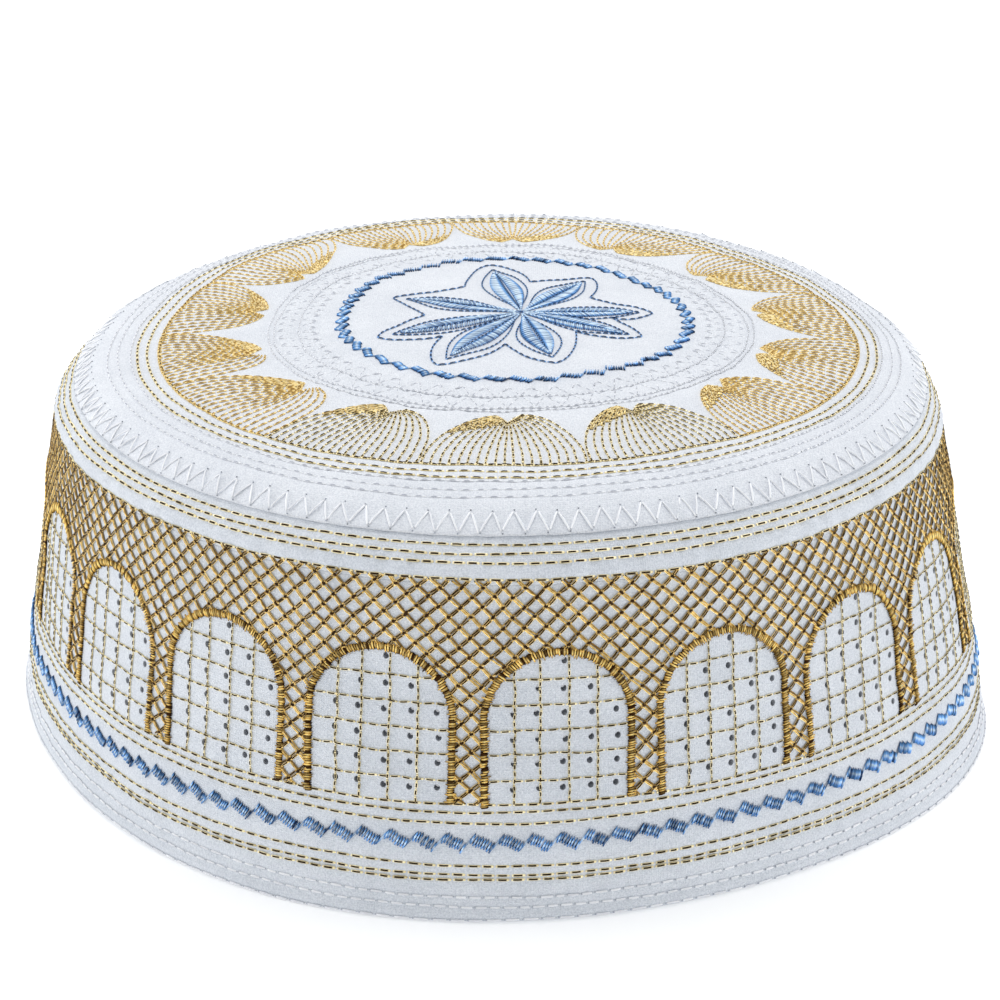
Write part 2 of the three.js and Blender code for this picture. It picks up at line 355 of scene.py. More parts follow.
def cotton(name, light, dark):
    """Woven cotton: soft clouds, small slubs and the weave itself, in colour and in relief."""
    material, tree, shader = new_material(name)
    uv = add_node(tree, "ShaderNodeUVMap", uv_map="UVMap")
    place = add_node(tree, "ShaderNodeTexCoord").outputs["Object"]
    waves = []
    for direction in ("X", "Y"):
        thread = add_node(tree, "ShaderNodeTexWave", bands_direction=direction)
        set_inputs(thread, Scale=8.0, Distortion=1.2, Detail=2.0, Detail_Scale=3.0)
        tree.links.new(uv.outputs["UV"], thread.inputs["Vector"])
        waves.append(thread.outputs["Fac"])
    woven = math_node(tree, "MULTIPLY", waves[0], waves[1])
    clouds = noise_node(tree, place, 70.0, 4.0, 0.6)
    slubs = noise_node(tree, place, 3200.0, 3.0, 0.75)
    creases = noise_node(tree, place, 160.0, 3.0, 0.55)
    mixed = math_node(tree, "ADD", math_node(tree, "MULTIPLY", clouds, CLOUD_SHARE), slubs)
    tone = math_node(tree, "MULTIPLY", mixed, MIX_SCALE)
    colour = ramp_node(tree, tone, ((DARK_STOP, dark), (LIGHT_STOP, light)))
    tree.links.new(colour, shader.inputs["Base Color"])
    rough = math_node(tree, "MULTIPLY", slubs, SLUB_ROUGHNESS)
    tree.links.new(math_node(tree, "ADD", rough, COTTON_ROUGHNESS), shader.inputs["Roughness"])
    bumps = ((creases, *CREASE_BUMP), (slubs, *SLUB_BUMP), (woven, *WEAVE_BUMP))
    tree.links.new(bump_chain(tree, bumps), shader.inputs["Normal"])
    set_inputs(shader, Sheen_Weight=0.15, Sheen_Roughness=0.4)
    return material


wall_cotton = cotton("wall_cotton", (0.83, 0.86, 0.91), (0.58, 0.62, 0.68))
trim_cotton = cotton("trim_cotton", (0.84, 0.87, 0.92), (0.59, 0.63, 0.69))
# A darker grey cotton for the inside walls of the eyelets: painted shade in the holes.
eyelet_shade = cotton("eyelet_shade", (0.56, 0.58, 0.62), (0.36, 0.38, 0.41))
# The crown's cotton is lighter than that of the wall and the trim: painted light on the top of the cap, which
# faces the overhead light.
crown_cotton = cotton("crown_cotton", (0.90, 0.92, 0.96), (0.66, 0.69, 0.75))
print("cloth materials:", [m.name for m in (wall_cotton, trim_cotton, eyelet_shade, crown_cotton)])

# %% Embroidery threads
RIM_BLEND = 0.18
TWIST_ROUGHNESS = 0.25
THREAD_ROUGHNESS = 0.38
TWIST_BUMP = (0.5, 0.00008)


def thread(name, along_stops, tones, metallic=0.0, rim=None, core=0.5):
    """along_stops colour a stitch from end to end, tones darken or lighten whole stitches, and rim
    is the colour that shows along both sides of the thread, outside its core. The light and dark
    in along_stops and rim are painted highlights and painted shade."""
    material, tree, shader = new_material(name)
    uv = add_node(tree, "ShaderNodeUVMap", uv_map="UVMap")
    split = add_node(tree, "ShaderNodeSeparateXYZ")
    tree.links.new(uv.outputs["UV"], split.inputs["Vector"])
    along = ramp_node(tree, split.outputs["X"], along_stops)
    if rim:
        side = add_node(tree, "ShaderNodeAttribute", attribute_name="side")
        edge = add_node(tree, "ShaderNodeMapRange")
        set_inputs(edge, From_Min=core, From_Max=core + RIM_BLEND)
        tree.links.new(side.outputs["Fac"], edge.inputs["Value"])
        rimmed = add_node(tree, "ShaderNodeMix", data_type="RGBA")
        tree.links.new(edge.outputs["Result"], rimmed.inputs["Factor"])
        tree.links.new(along, rimmed.inputs["A"])
        rimmed.inputs["B"].default_value = (*rim, 1)
        along = rimmed.outputs["Result"]
    tone = ramp_node(tree, split.outputs["Y"], ((0.0, tones[0]), (1.0, tones[1])))
    mix = add_node(tree, "ShaderNodeMix", data_type="RGBA", blend_type="MULTIPLY")
    mix.inputs["Factor"].default_value = 1.0
    tree.links.new(along, mix.inputs["A"])
    tree.links.new(tone, mix.inputs["B"])
    tree.links.new(mix.outputs["Result"], shader.inputs["Base Color"])
    place = add_node(tree, "ShaderNodeTexCoord").outputs["Object"]
    twist = noise_node(tree, place, 2600.0, 2.0, 0.7)
    rough = math_node(tree, "MULTIPLY", twist, TWIST_ROUGHNESS)
    tree.links.new(math_node(tree, "ADD", rough, THREAD_ROUGHNESS), shader.inputs["Roughness"])
    tree.links.new(bump_chain(tree, ((twist, *TWIST_BUMP),)), shader.inputs["Normal"])
    set_inputs(shader, Metallic=metallic, Specular_IOR_Level=0.12)
    return material


def dashed(tip, shoulder, body, marks):
    """Stops for a stitch whose two ends differ from its body; marks are where they change."""
    places = (0.0, *marks, 1.0)
    return tuple(zip(places, (tip, shoulder, body, body, shoulder, tip)))


def plain(colour):
    return ((0.0, colour), (1.0, colour))


# %% Gold threads
# The dark brown below is painted shade: the dark dashes on top of the gold threads, their ends that dive into
# the needle holes, and the knots where the lattice threads cross. The cream stops and rims are the pale gold
# of the thread, used in part as painted highlight.
CREAM_GOLD = (1.0, 0.90, 0.62)
PALE_GOLD = (1.0, 0.80, 0.36)
RICH_GOLD = (0.86, 0.60, 0.20)
OLD_GOLD = (0.44, 0.27, 0.055)
SHADE_BROWN = (0.030, 0.013, 0.003)
SHADE_OLIVE = (0.035, 0.020, 0.005)
SHADE_BRONZE = (0.34, 0.20, 0.05)
gold_running = thread(
    "gold_running_thread",
    dashed(PALE_GOLD, CREAM_GOLD, SHADE_BROWN, (0.16, 0.24, 0.74, 0.82)),
    ((0.7, 0.66, 0.55), (1.4, 1.38, 1.3)),
    rim=CREAM_GOLD,
)
FALLING_MARKS = (0.0, 0.14, 0.24, 0.5, 0.76, 0.86, 1.0)
gold_falling = thread(
    "gold_falling_thread",
    tuple(zip(FALLING_MARKS, (SHADE_BROWN, SHADE_BROWN, RICH_GOLD, OLD_GOLD, RICH_GOLD, SHADE_BROWN, SHADE_BROWN))),
    ((0.34, 0.27, 0.18), (1.6, 1.58, 1.5)),
    rim=CREAM_GOLD,
)
gold_rising = thread(
    "gold_rising_thread",
    dashed(CREAM_GOLD, RICH_GOLD, SHADE_BROWN, (0.2, 0.28, 0.72, 0.8)),
    ((0.5, 0.42, 0.3), (1.5, 1.45, 1.3)),
    rim=(1.0, 0.82, 0.46),
)
# The knots are dark brown all over: painted shade of the needle holes where the lattice threads cross.
knot_shade = thread("gold_knot_thread", plain(SHADE_BROWN), ((0.8, 0.8, 0.8), (2.0, 1.8, 1.5)))
SATIN_MARKS = (0.0, 0.14, 0.3, 0.5, 0.7, 0.86, 1.0)
gold_satin = thread(
    "gold_satin_thread",
    tuple(zip(SATIN_MARKS, (SHADE_BROWN, OLD_GOLD, RICH_GOLD, PALE_GOLD, RICH_GOLD, OLD_GOLD, SHADE_BROWN))),
    ((0.06, 0.03, 0.01), (1.5, 1.45, 1.3)),
    metallic=0.15,
)
# The two fan threads below are lit and shaded copies of one gold thread: the dark dashes are painted shade,
# darker in the first, which is used on the front fans and the crown's gold rows.
gold_fan = thread(
    "gold_fan_thread",
    dashed(CREAM_GOLD, CREAM_GOLD, SHADE_OLIVE, (0.2, 0.3, 0.72, 0.82)),
    ((0.95, 0.9, 0.78), (1.4, 1.36, 1.25)),
    rim=(1.0, 0.86, 0.50),
    core=0.56,
)
light_fan = thread(
    "light_fan_thread",
    dashed(CREAM_GOLD, PALE_GOLD, SHADE_BRONZE, (0.24, 0.34, 0.64, 0.76)),
    ((0.8, 0.72, 0.58), (1.3, 1.26, 1.15)),
    rim=(1.0, 0.80, 0.40),
)
orange_satin = thread(
    "orange_gold_thread",
    ((0.0, OLD_GOLD), (0.15, PALE_GOLD), (0.6, CREAM_GOLD), (0.85, RICH_GOLD), (1.0, OLD_GOLD)),
    ((0.45, 0.36, 0.24), (1.3, 1.3, 1.2)),
)
print("the brightest gold is", CREAM_GOLD, "and the darkest", SHADE_BROWN)

# %% Blue and white threads
# The darkest blues below are painted shade, at the ends of the satin stitches and in the dashes of the
# running stitch; the ice blue is the thread's light blue, used in part as painted highlight on top of the
# satin.
ICE_BLUE = (0.62, 0.76, 0.95)
SKY_BLUE = (0.17, 0.39, 0.80)
STEEL_BLUE = (0.05, 0.15, 0.38)
SHADE_NAVY = (0.010, 0.028, 0.085)
BLUE_MARKS = (0.0, 0.12, 0.35, 0.55, 0.7, 1.0)
blue_satin = thread(
    "blue_satin_thread",
    tuple(zip(BLUE_MARKS, (SHADE_NAVY, STEEL_BLUE, SKY_BLUE, ICE_BLUE, SKY_BLUE, SHADE_NAVY))),
    ((0.06, 0.09, 0.15), (1.7, 1.65, 1.5)),
)
leaf_satin = thread(
    "leaf_satin_thread",
    dashed(STEEL_BLUE, SKY_BLUE, ICE_BLUE, (0.12, 0.36, 0.66, 0.8)),
    ((0.2, 0.28, 0.42), (1.4, 1.35, 1.2)),
)
blue_running = thread(
    "blue_running_thread",
    dashed(ICE_BLUE, SKY_BLUE, SHADE_NAVY, (0.2, 0.3, 0.75, 0.88)),
    ((0.7, 0.74, 0.8), (1.15, 1.15, 1.1)),
    rim=(0.42, 0.56, 0.76),
    core=0.66,
)
# The greys below are painted shade on the white thread: at the ends that dive into the needle holes, in the
# middle of each crown stitch, and as the painted shadow of the needle holes at the zigzag.
WHITE_TOP = (0.95, 0.96, 0.98)
WHITE_DIP_SHADE = (0.42, 0.45, 0.52)
WHITE_SHADE = (0.46, 0.48, 0.54)
SHADOW_GREY = (0.24, 0.26, 0.30)
white_running = thread(
    "white_running_thread",
    ((0.0, WHITE_DIP_SHADE), (0.1, WHITE_DIP_SHADE), (0.22, WHITE_TOP), (0.9, WHITE_TOP), (1.0, WHITE_DIP_SHADE)),
    ((0.9, 0.9, 0.92), (1.05, 1.05, 1.05)),
)
white_plain = thread("white_plain_thread", plain(WHITE_TOP), ((0.9, 0.9, 0.92), (1.05, 1.05, 1.05)))
white_crown = thread(
    "white_crown_thread",
    dashed(WHITE_TOP, WHITE_TOP, WHITE_SHADE, (0.2, 0.34, 0.6, 0.75)),
    ((0.95, 0.95, 0.96), (1.05, 1.05, 1.05)),
    rim=WHITE_TOP,
)
needle_shadow = thread("needle_shadow", plain(SHADOW_GREY), ((0.6, 0.6, 0.6), (2.0, 2.0, 2.0)))
print("materials so far:", len(bpy.data.materials))

# %% The floor's finish
floor_material, _, floor_shader = new_material("pale_floor")
set_inputs(floor_shader, Base_Color=(0.94, 0.945, 0.95, 1), Roughness=0.9)
set_inputs(floor_shader, Emission_Color=(1, 1, 1, 1), Emission_Strength=0.26)
floor.data.materials.append(floor_material)

# %% [markdown]
# ## Cloth pieces
# A strip of cloth is a flat grid, so each piece starts as one: its long side goes round the cap and
# its short side goes up it. Rolled onto the surface, its two ends meet at the back and are merged,
# as the real strip is sewn there.

# %% Roll a grid into cloth
MERGE_DISTANCE = 0.000004


def flat_strip(name, around, rows):
    """A flat grid one unit square, ready to be rolled, with the given number of cells."""
    clear_selection()
    bpy.ops.mesh.primitive_grid_add(x_subdivisions=around, y_subdivisions=rows, size=1)
    strip = bpy.context.object
    strip.name = name
    strip.data.name = name
    return strip


def read_points(piece):
    """The places of a piece's corners, as rows of x, y, z."""
    points = np.empty(len(piece.data.vertices) * 3)
    piece.data.vertices.foreach_get("co", points)
    return points.reshape(-1, 3)


def write_points(piece, points):
    piece.data.vertices.foreach_set("co", np.ascontiguousarray(points, dtype=float).ravel())
    piece.data.update()


def write_uv(piece, per_vertex):
    """Gives each face corner the two numbers of its vertex."""
    corners = np.empty(len(piece.data.loops), dtype=np.int32)
    piece.data.loops.foreach_get("vertex_index", corners)
    layer = piece.data.uv_layers.get("UVMap") or piece.data.uv_layers.new(name="UVMap")
    layer.data.foreach_set("uv", per_vertex[corners].astype(np.float32).ravel())


def sew_ends(piece):
    """Merges the edges that meet, turns the faces outwards and smooths the shading."""
    clear_selection()
    piece.select_set(True)
    bpy.context.view_layer.objects.active = piece
    bpy.ops.object.mode_set(mode="EDIT")
    bpy.ops.mesh.select_all(action="SELECT")
    bpy.ops.mesh.remove_doubles(threshold=MERGE_DISTANCE)
    bpy.ops.mesh.normals_make_consistent(inside=False)
    bpy.ops.object.mode_set(mode="OBJECT")
    bpy.ops.object.shade_smooth()


def finish_piece(piece, materials, node=None):
    """Gives a piece its materials, parents it to what it rides on and hides the CAD part that it stands for.
    """
    for material in materials:
        piece.data.materials.append(material)
    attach(piece, "root")
    if node:
        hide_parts(node)
    piece.data.calc_loop_triangles()
    print(piece.name, len(piece.data.loop_triangles), "triangles")


# %% [markdown]
# Sewing pulls cloth in: it dips where a row of stitches runs and puffs up between two rows. Long
# soft lumps from handling are added on top. Both are real shape here, because they catch the light.

# %% Puckers
WALL_ROWS = (2.5, 4.4, 7.3, 8.15, 9.9, 17.4, 19.2, 20.5, 58.5)
BAND_ROWS = (61.6, 63.1, 64.7)
CROWN_WHITE_ROWS = (78.4, 76.6, 74.4)
CROWN_GOLD_ROWS = (73.2, 71.25, 69.1)
QUILT_ROWS = (48.45, 47.2, 42.6)
ROW_DIP = 0.22
ROW_SPREAD = 0.55
ROW_GATHER = 0.35
# Level, spread and strength of the small folds where cloth is gathered
GATHERS = ((60.2, 2.2, 1.0), (68.5, 2.6, 1.3), (6.0, 4.0, 0.5), (110.0, 6.0, 0.6))
FOLD_DEPTH = 0.15
RIPPLE_DEPTH = 0.05
LUMP_DEPTH = 0.22
SMALL_LUMP_DEPTH = 0.12
SHOULDER_STEP = 62


def level_of_radius(radius):
    """The level of a ring on the crown or shoulder with this mean radius."""
    levels, radii = MERIDIAN[:2, SHOULDER_STEP:]
    order = np.argsort(radii)
    return np.interp(radius, radii[order], levels[order])


CROWN_ROW_RADII = CROWN_WHITE_ROWS + CROWN_GOLD_ROWS + QUILT_ROWS
CROWN_ROW_LEVELS = tuple(float(level_of_radius(r)) for r in CROWN_ROW_RADII)
print("crown rows at levels", [round(v, 1) for v in CROWN_ROW_LEVELS])


def bell(level, middle, spread):
    return np.exp(-(((level - middle) / spread) ** 2))


def pucker(level, azimuth):
    """Depth of the cloth from dips along the rows and low lumps, in millimetres. The counts of
    waves round the cap share no divisor, so that folds and lumps never fall into step."""
    depth = np.zeros(np.broadcast(level, azimuth).shape)
    for row in WALL_ROWS + BAND_ROWS + CROWN_ROW_LEVELS:
        pull = 1 + ROW_GATHER * np.sin(azimuth * 61 + row * 3)
        depth = depth - ROW_DIP * pull * bell(level, row, ROW_SPREAD)
    gathered = 0
    for middle, spread, strength in GATHERS:
        gathered = gathered + strength * bell(level, middle, spread)
    fold = np.sin(azimuth * 97 + 1.3 * np.sin(azimuth * 9))
    fold = fold + np.sin(azimuth * 131 + level * 0.25) * np.sin(azimuth * 13)
    depth = depth + (FOLD_DEPTH * fold + RIPPLE_DEPTH * np.sin(azimuth * 211 + level)) * gathered
    lumps = LUMP_DEPTH * np.sin(7 * azimuth + level * 0.09) * np.sin(level * 0.11 + 2 * azimuth)
    small = np.sin(19 * azimuth - level * 0.2) * np.sin(level * 0.33 + 5 * azimuth)
    quiet = np.clip(level / 12, 0.25, 1) * np.clip((CROWN_MIDDLE - level) / 30, 0, 1)
    return depth + (lumps + SMALL_LUMP_DEPTH * small) * quiet


# %% [markdown]
# ## The side wall
# The wall is pierced by small eyelets in rows inside each arch. They could be cut by a boolean, but 480
# cuts are slow and leave long thin faces. Here the flat strip is warped a little, so that a corner of
# its grid lies on each eyelet. A bevel of those corners makes the holes, and two cuts in each side of a
# hole, spread evenly, make it round. The strip is thickened last, which gives each hole its inner rim,
# coloured a darker grey as painted shade inside the hole.

# %% Where the eyelets are
ARCHES = 20
ARCH_STEP = 360 / ARCHES
FIRST_ARCH_TURN = 5.5
ARCH_TURNS = FIRST_ARCH_TURN + ARCH_STEP * np.arange(ARCHES)
ARCH_HALF_WIDTH = 12.0
ARCH_FOOT = 20.5
ARCH_SPRING = 34.6
EYELET_COLUMNS = (-4.5, -2.1, 0.55, 3.3, 5.95)
EYELET_ROWS = (23.3, 27.5, 31.8, 36.1)
EYELET_FOURTH_ROW = 40.4
EYELET_TOP = (0.6, 45.0)
EYELET_WANDER = (0.09, 0.12)
EYELET_SEED = 4
EYELET_RADIUS = 0.5
EYELET_STRETCH = 1.15
EYELET_PULL = 1.5
EYELET_SLACK = 0.08
EYELET_CUTS = 2


def eyelet_places():
    """Turn and level of every eyelet, each a little out of its row and column."""
    places = [(column, level) for level in EYELET_ROWS for column in EYELET_COLUMNS]
    places += [(column, EYELET_FOURTH_ROW) for column in EYELET_COLUMNS[1:4]]
    places += [EYELET_TOP]
    rng = np.random.default_rng(EYELET_SEED)
    found = []
    for turn in ARCH_TURNS:
        for column, level in places:
            turned = turn + column + rng.normal(0, EYELET_WANDER[0])
            found.append(((turned + 180) % 360 - 180, level + rng.normal(0, EYELET_WANDER[1])))
    return np.array(found)


EYELETS = eyelet_places()
print("eyelets:", len(EYELETS))

# %% The flat strip of the wall
WALL_START = 1.2
WALL_AROUND = 560
WALL_ROW_GAP = 0.4
DRAWN_GIRTH = 580.0
UV_SCALE = 10.0


def spread_levels(levels, gap):
    """Rounded levels in order, without those that lie closer than the gap to the one before."""
    levels = np.unique(np.round(np.concatenate(levels), 2))
    keep = [levels[0]]
    for level in levels[1:]:
        if level - keep[-1] > gap:
            keep.append(level)
    return keep


def wall_levels():
    """Cloth rows packed closer where seams run, up to where the wall goes under the band."""
    fine = np.concatenate([np.array(WALL_ROWS) + d for d in (-0.6, 0, 0.6)])
    even = np.arange(11.2, 57, 1.25)
    return np.array(spread_levels([[WALL_START], fine, even, [57.2, 58.2, 60, 62.2]], WALL_ROW_GAP))


def warp_to_eyelets(flat, centres):
    """Shifts the strip's corners so that one lies on each eyelet, and says which ones."""
    chosen, moved = [], np.zeros((len(flat), 2))
    for place in centres:
        nearest = int(np.argmin(np.hypot(*(flat[:, :2] - place).T)))
        pull = place - flat[nearest, :2]
        sideways = (flat[:, 0] - flat[nearest, 0] + DRAWN_GIRTH / 2) % DRAWN_GIRTH - DRAWN_GIRTH / 2
        reach = np.hypot(sideways, flat[:, 1] - flat[nearest, 1])
        moved += pull * np.exp(-((reach / EYELET_PULL) ** 2))[:, None]
        chosen.append(nearest)
    flat[:, :2] += moved
    return chosen


def near_eyelets(flat, centres):
    """Which corners of the strip lie on the rim of an eyelet, and of which one."""
    best, which = np.full(len(flat), np.inf), np.zeros(len(flat), dtype=int)
    for i, centre in enumerate(centres):
        away = np.hypot(flat[:, 0] - centre[0], flat[:, 1] - centre[1])
        closer = away < best
        best[closer], which[closer] = away[closer], i
    return best < EYELET_RADIUS + EYELET_SLACK, which


# %% Cut the eyelets


def select_corners(strip, corners):
    """Leaves the strip in edit mode with only these corners selected."""
    bpy.context.view_layer.objects.active = strip
    bpy.ops.object.mode_set(mode="EDIT")
    bpy.ops.mesh.select_mode(type="VERT")
    bpy.ops.object.mode_set(mode="OBJECT")
    strip.data.polygons.foreach_set("select", np.zeros(len(strip.data.polygons), dtype=bool))
    strip.data.edges.foreach_set("select", np.zeros(len(strip.data.edges), dtype=bool))
    strip.data.vertices.foreach_set("select", np.isin(np.arange(len(strip.data.vertices)), corners))
    bpy.ops.object.mode_set(mode="EDIT")


def cut_eyelets(strip, chosen, centres):
    """Opens a hole at each chosen corner and cuts its sides for rounding."""
    select_corners(strip, chosen)
    bpy.ops.mesh.bevel(affect="VERTICES", offset=EYELET_RADIUS, segments=1)
    bpy.ops.mesh.select_mode(type="FACE")
    bpy.ops.mesh.delete(type="ONLY_FACE")
    bpy.ops.object.mode_set(mode="OBJECT")
    rim, _ = near_eyelets(read_points(strip), centres)
    ends = np.empty(len(strip.data.edges) * 2, dtype=np.int32)
    strip.data.edges.foreach_get("vertices", ends)
    strip.data.vertices.foreach_set("select", rim)
    strip.data.edges.foreach_set("select", rim[ends.reshape(-1, 2)].all(axis=1))
    bpy.ops.object.mode_set(mode="EDIT")
    bpy.ops.mesh.select_mode(type="EDGE")
    bpy.ops.mesh.subdivide(number_cuts=EYELET_CUTS)
    bpy.ops.object.mode_set(mode="OBJECT")


def round_eyelets(flat, centres):
    """Spreads the corners of each hole's rim evenly round it."""
    rim, mouth = near_eyelets(flat, centres)
    for i, centre in enumerate(centres):
        corners = np.flatnonzero(rim & (mouth == i))
        away = flat[corners, :2] - centre
        order = corners[np.argsort(np.arctan2(away[:, 1], away[:, 0]))]
        angle = (np.arange(len(order)) + 0.5) * 2 * math.pi / len(order) - math.pi
        flat[order, 0] = centre[0] + EYELET_RADIUS * np.cos(angle)
        flat[order, 1] = centre[1] + EYELET_RADIUS * EYELET_STRETCH * np.sin(angle)
    print("corners on the eyelets' rims:", int(rim.sum()))


# %% Roll the wall
WALL_THICKNESS = 1.9
SMOOTH_ANGLE = 35
UNDER_BAND_LEVELS = (57.75, 58.4, 62.2)
UNDER_BAND_DEPTHS = (0, -0.4, -1.45)


def make_wall():
    levels = wall_levels()
    strip = flat_strip("wall_cloth", WALL_AROUND, len(levels) - 1)
    points = read_points(strip)
    flat = np.zeros_like(points)
    flat[:, 0] = points[:, 0] * DRAWN_GIRTH
    flat[:, 1] = levels[np.rint((points[:, 1] + 0.5) * (len(levels) - 1)).astype(int)]
    centres = np.stack([EYELETS[:, 0] / 360 * DRAWN_GIRTH, EYELETS[:, 1]], axis=1)
    chosen = warp_to_eyelets(flat, centres)
    write_points(strip, flat)
    cut_eyelets(strip, chosen, centres)
    flat = read_points(strip)
    round_eyelets(flat, centres)
    write_uv(strip, flat[:, :2] / UV_SCALE)
    level = flat[:, 1]
    azimuth = azimuth_of(flat[:, 0] / DRAWN_GIRTH * 360, level)
    under_band = np.interp(level, UNDER_BAND_LEVELS, UNDER_BAND_DEPTHS)
    write_points(strip, surface(level, azimuth, under_band + pucker(level, azimuth)))
    sew_ends(strip)
    finish_piece(strip, (wall_cotton, eyelet_shade), "side_wall")
    wall = strip.modifiers.new("wall", "SOLIDIFY")
    wall.thickness = WALL_THICKNESS * MM
    wall.offset = -1
    # The rim faces, which include the inside walls of the eyelets, take the second, darker grey cotton:
    # painted shade in the holes.
    wall.material_offset_rim = 1
    bpy.ops.object.modifier_apply(modifier="wall")
    bpy.ops.object.shade_smooth_by_angle(angle=math.radians(SMOOTH_ANGLE))


make_wall()

# %% [markdown]
# ## Hem, band and crown
# These three have closed sections, so their grids are rolled both ways: round the cap and round the
# section. The crown's section runs out from the middle along its inside and back along the outside.

# %% Closed sections
WALL_TOP_LEVEL = 70.0


def section_piece(name, section, around, material, node, to_middle=False):
    """Carries a section of (level, depth) once round the cap, or to the middle of the crown."""
    section = np.array(section)
    if not to_middle:
        section = np.vstack([section, section[:1]])
    strip = flat_strip(name, around, len(section) - 1)
    points = read_points(strip)
    row = np.rint((points[:, 1] + 0.5) * (len(section) - 1)).astype(int)
    turn = points[:, 0] * 360
    level, depth = section[row, 0], section[row, 1]
    azimuth = azimuth_of(turn, np.minimum(level, WALL_TOP_LEVEL))
    placed = surface(level, azimuth, depth + pucker(level, azimuth))
    if to_middle:
        flat = surface(level, azimuth)[:, :2] / MM / UV_SCALE
    else:
        flat = np.stack([points[:, 0] * DRAWN_GIRTH, level], axis=1) / UV_SCALE
    write_uv(strip, flat)
    write_points(strip, placed)
    sew_ends(strip)
    finish_piece(strip, (material,), node)


# %% Hem binding and shoulder band
# Each pair is a level and a depth, charted round the folded edge of the strip.
HEM_AROUND = 420
HEM_OUTSIDE = ((0.1, -0.15), (0.5, 0.02), (1.0, 0.08), (1.5, 0.05), (1.85, -0.08), (1.9, -0.4), (1.7, -0.7))
HEM_FOLD = ((0.95, -0.7), (0.9, -1.4), (0.9, -2.3), (3.5, -2.3), (6.4, -2.3), (6.5, -2.7), (6.4, -3.1))
HEM_UNDER = ((3.5, -3.15), (0.45, -3.1), (0.1, -2.6), (0.0, -1.6))
BAND_AROUND = 480
BAND_LIP = ((57.8, -0.06), (57.7, 0.02), (57.8, 0.09), (58.1, 0.18), (58.5, 0.24), (59.2, 0.33))
BAND_FACE = ((60.0, 0.38), (61.0, 0.34), (61.6, 0.28), (62.3, 0.24), (63.1, 0.14), (63.9, 0.1), (64.7, 0.02))
BAND_UNDER_CROWN = ((65.4, -0.05), (66.2, -0.2), (68.4, -0.5), (70.6, -0.7), (70.7, -1.2), (70.4, -1.7))
BAND_INSIDE = ((66.2, -1.7), (63.0, -1.1), (60.0, -0.6), (58.2, -0.3), (57.9, -0.1))
hem = HEM_OUTSIDE + HEM_FOLD + HEM_UNDER
band = BAND_LIP + BAND_FACE + BAND_UNDER_CROWN + BAND_INSIDE
section_piece("hem_cloth", hem, HEM_AROUND, trim_cotton, "hem_binding")
section_piece("band_cloth", band, BAND_AROUND, trim_cotton, "shoulder_band")

# %% Crown
CROWN_AROUND = 400
CROWN_LIP = [(66.35, -0.15), (66.2, 0.0), (66.25, 0.2), (66.5, 0.31), (67.3, 0.34)]
CROWN_LIFT_LEVELS = (67.6, 69, 72, 75, 78.5)
CROWN_LIFT_DEPTHS = (0.34, 0.32, 0.2, 0.05, 0)
CROWN_THICKNESS = 1.4
CROWN_INSIDE_LEVELS = (CROWN_MIDDLE, 140, 120, 105, 92, 83, 77, 73.6)
CROWN_INSIDE_EDGE = [(71.6, -0.5), (69, -0.45), (66.6, -0.36)]
CROWN_ROW_GAP = 0.35


def crown_section():
    """From the middle of the crown out along its inside, and back to the middle along the outside."""
    fine = np.concatenate([np.array(CROWN_ROW_LEVELS) + d for d in (-0.5, 0, 0.5)])
    even = np.arange(68.4, CROWN_MIDDLE, 1.9)
    levels = spread_levels([fine, even, [CROWN_MIDDLE]], CROWN_ROW_GAP)
    levels[-1] = CROWN_MIDDLE
    outside = list(zip(levels, np.interp(levels, CROWN_LIFT_LEVELS, CROWN_LIFT_DEPTHS)))
    inside = [(level, -CROWN_THICKNESS) for level in CROWN_INSIDE_LEVELS]
    return inside + CROWN_INSIDE_EDGE + CROWN_LIP + outside


section_piece(
    "crown_cloth", crown_section(), CROWN_AROUND, crown_cotton, "crown_panel", to_middle=True
)

# %% [markdown]
# ## Stitches
# Every stitch on the cap is the same small thing: a thread that comes up through one needle hole,
# lies on the cloth and dives into the next. One is modelled, and each row of embroidery is made of
# copies of it that are laid from hole to hole, all joined in one mesh.

# %% One stitch


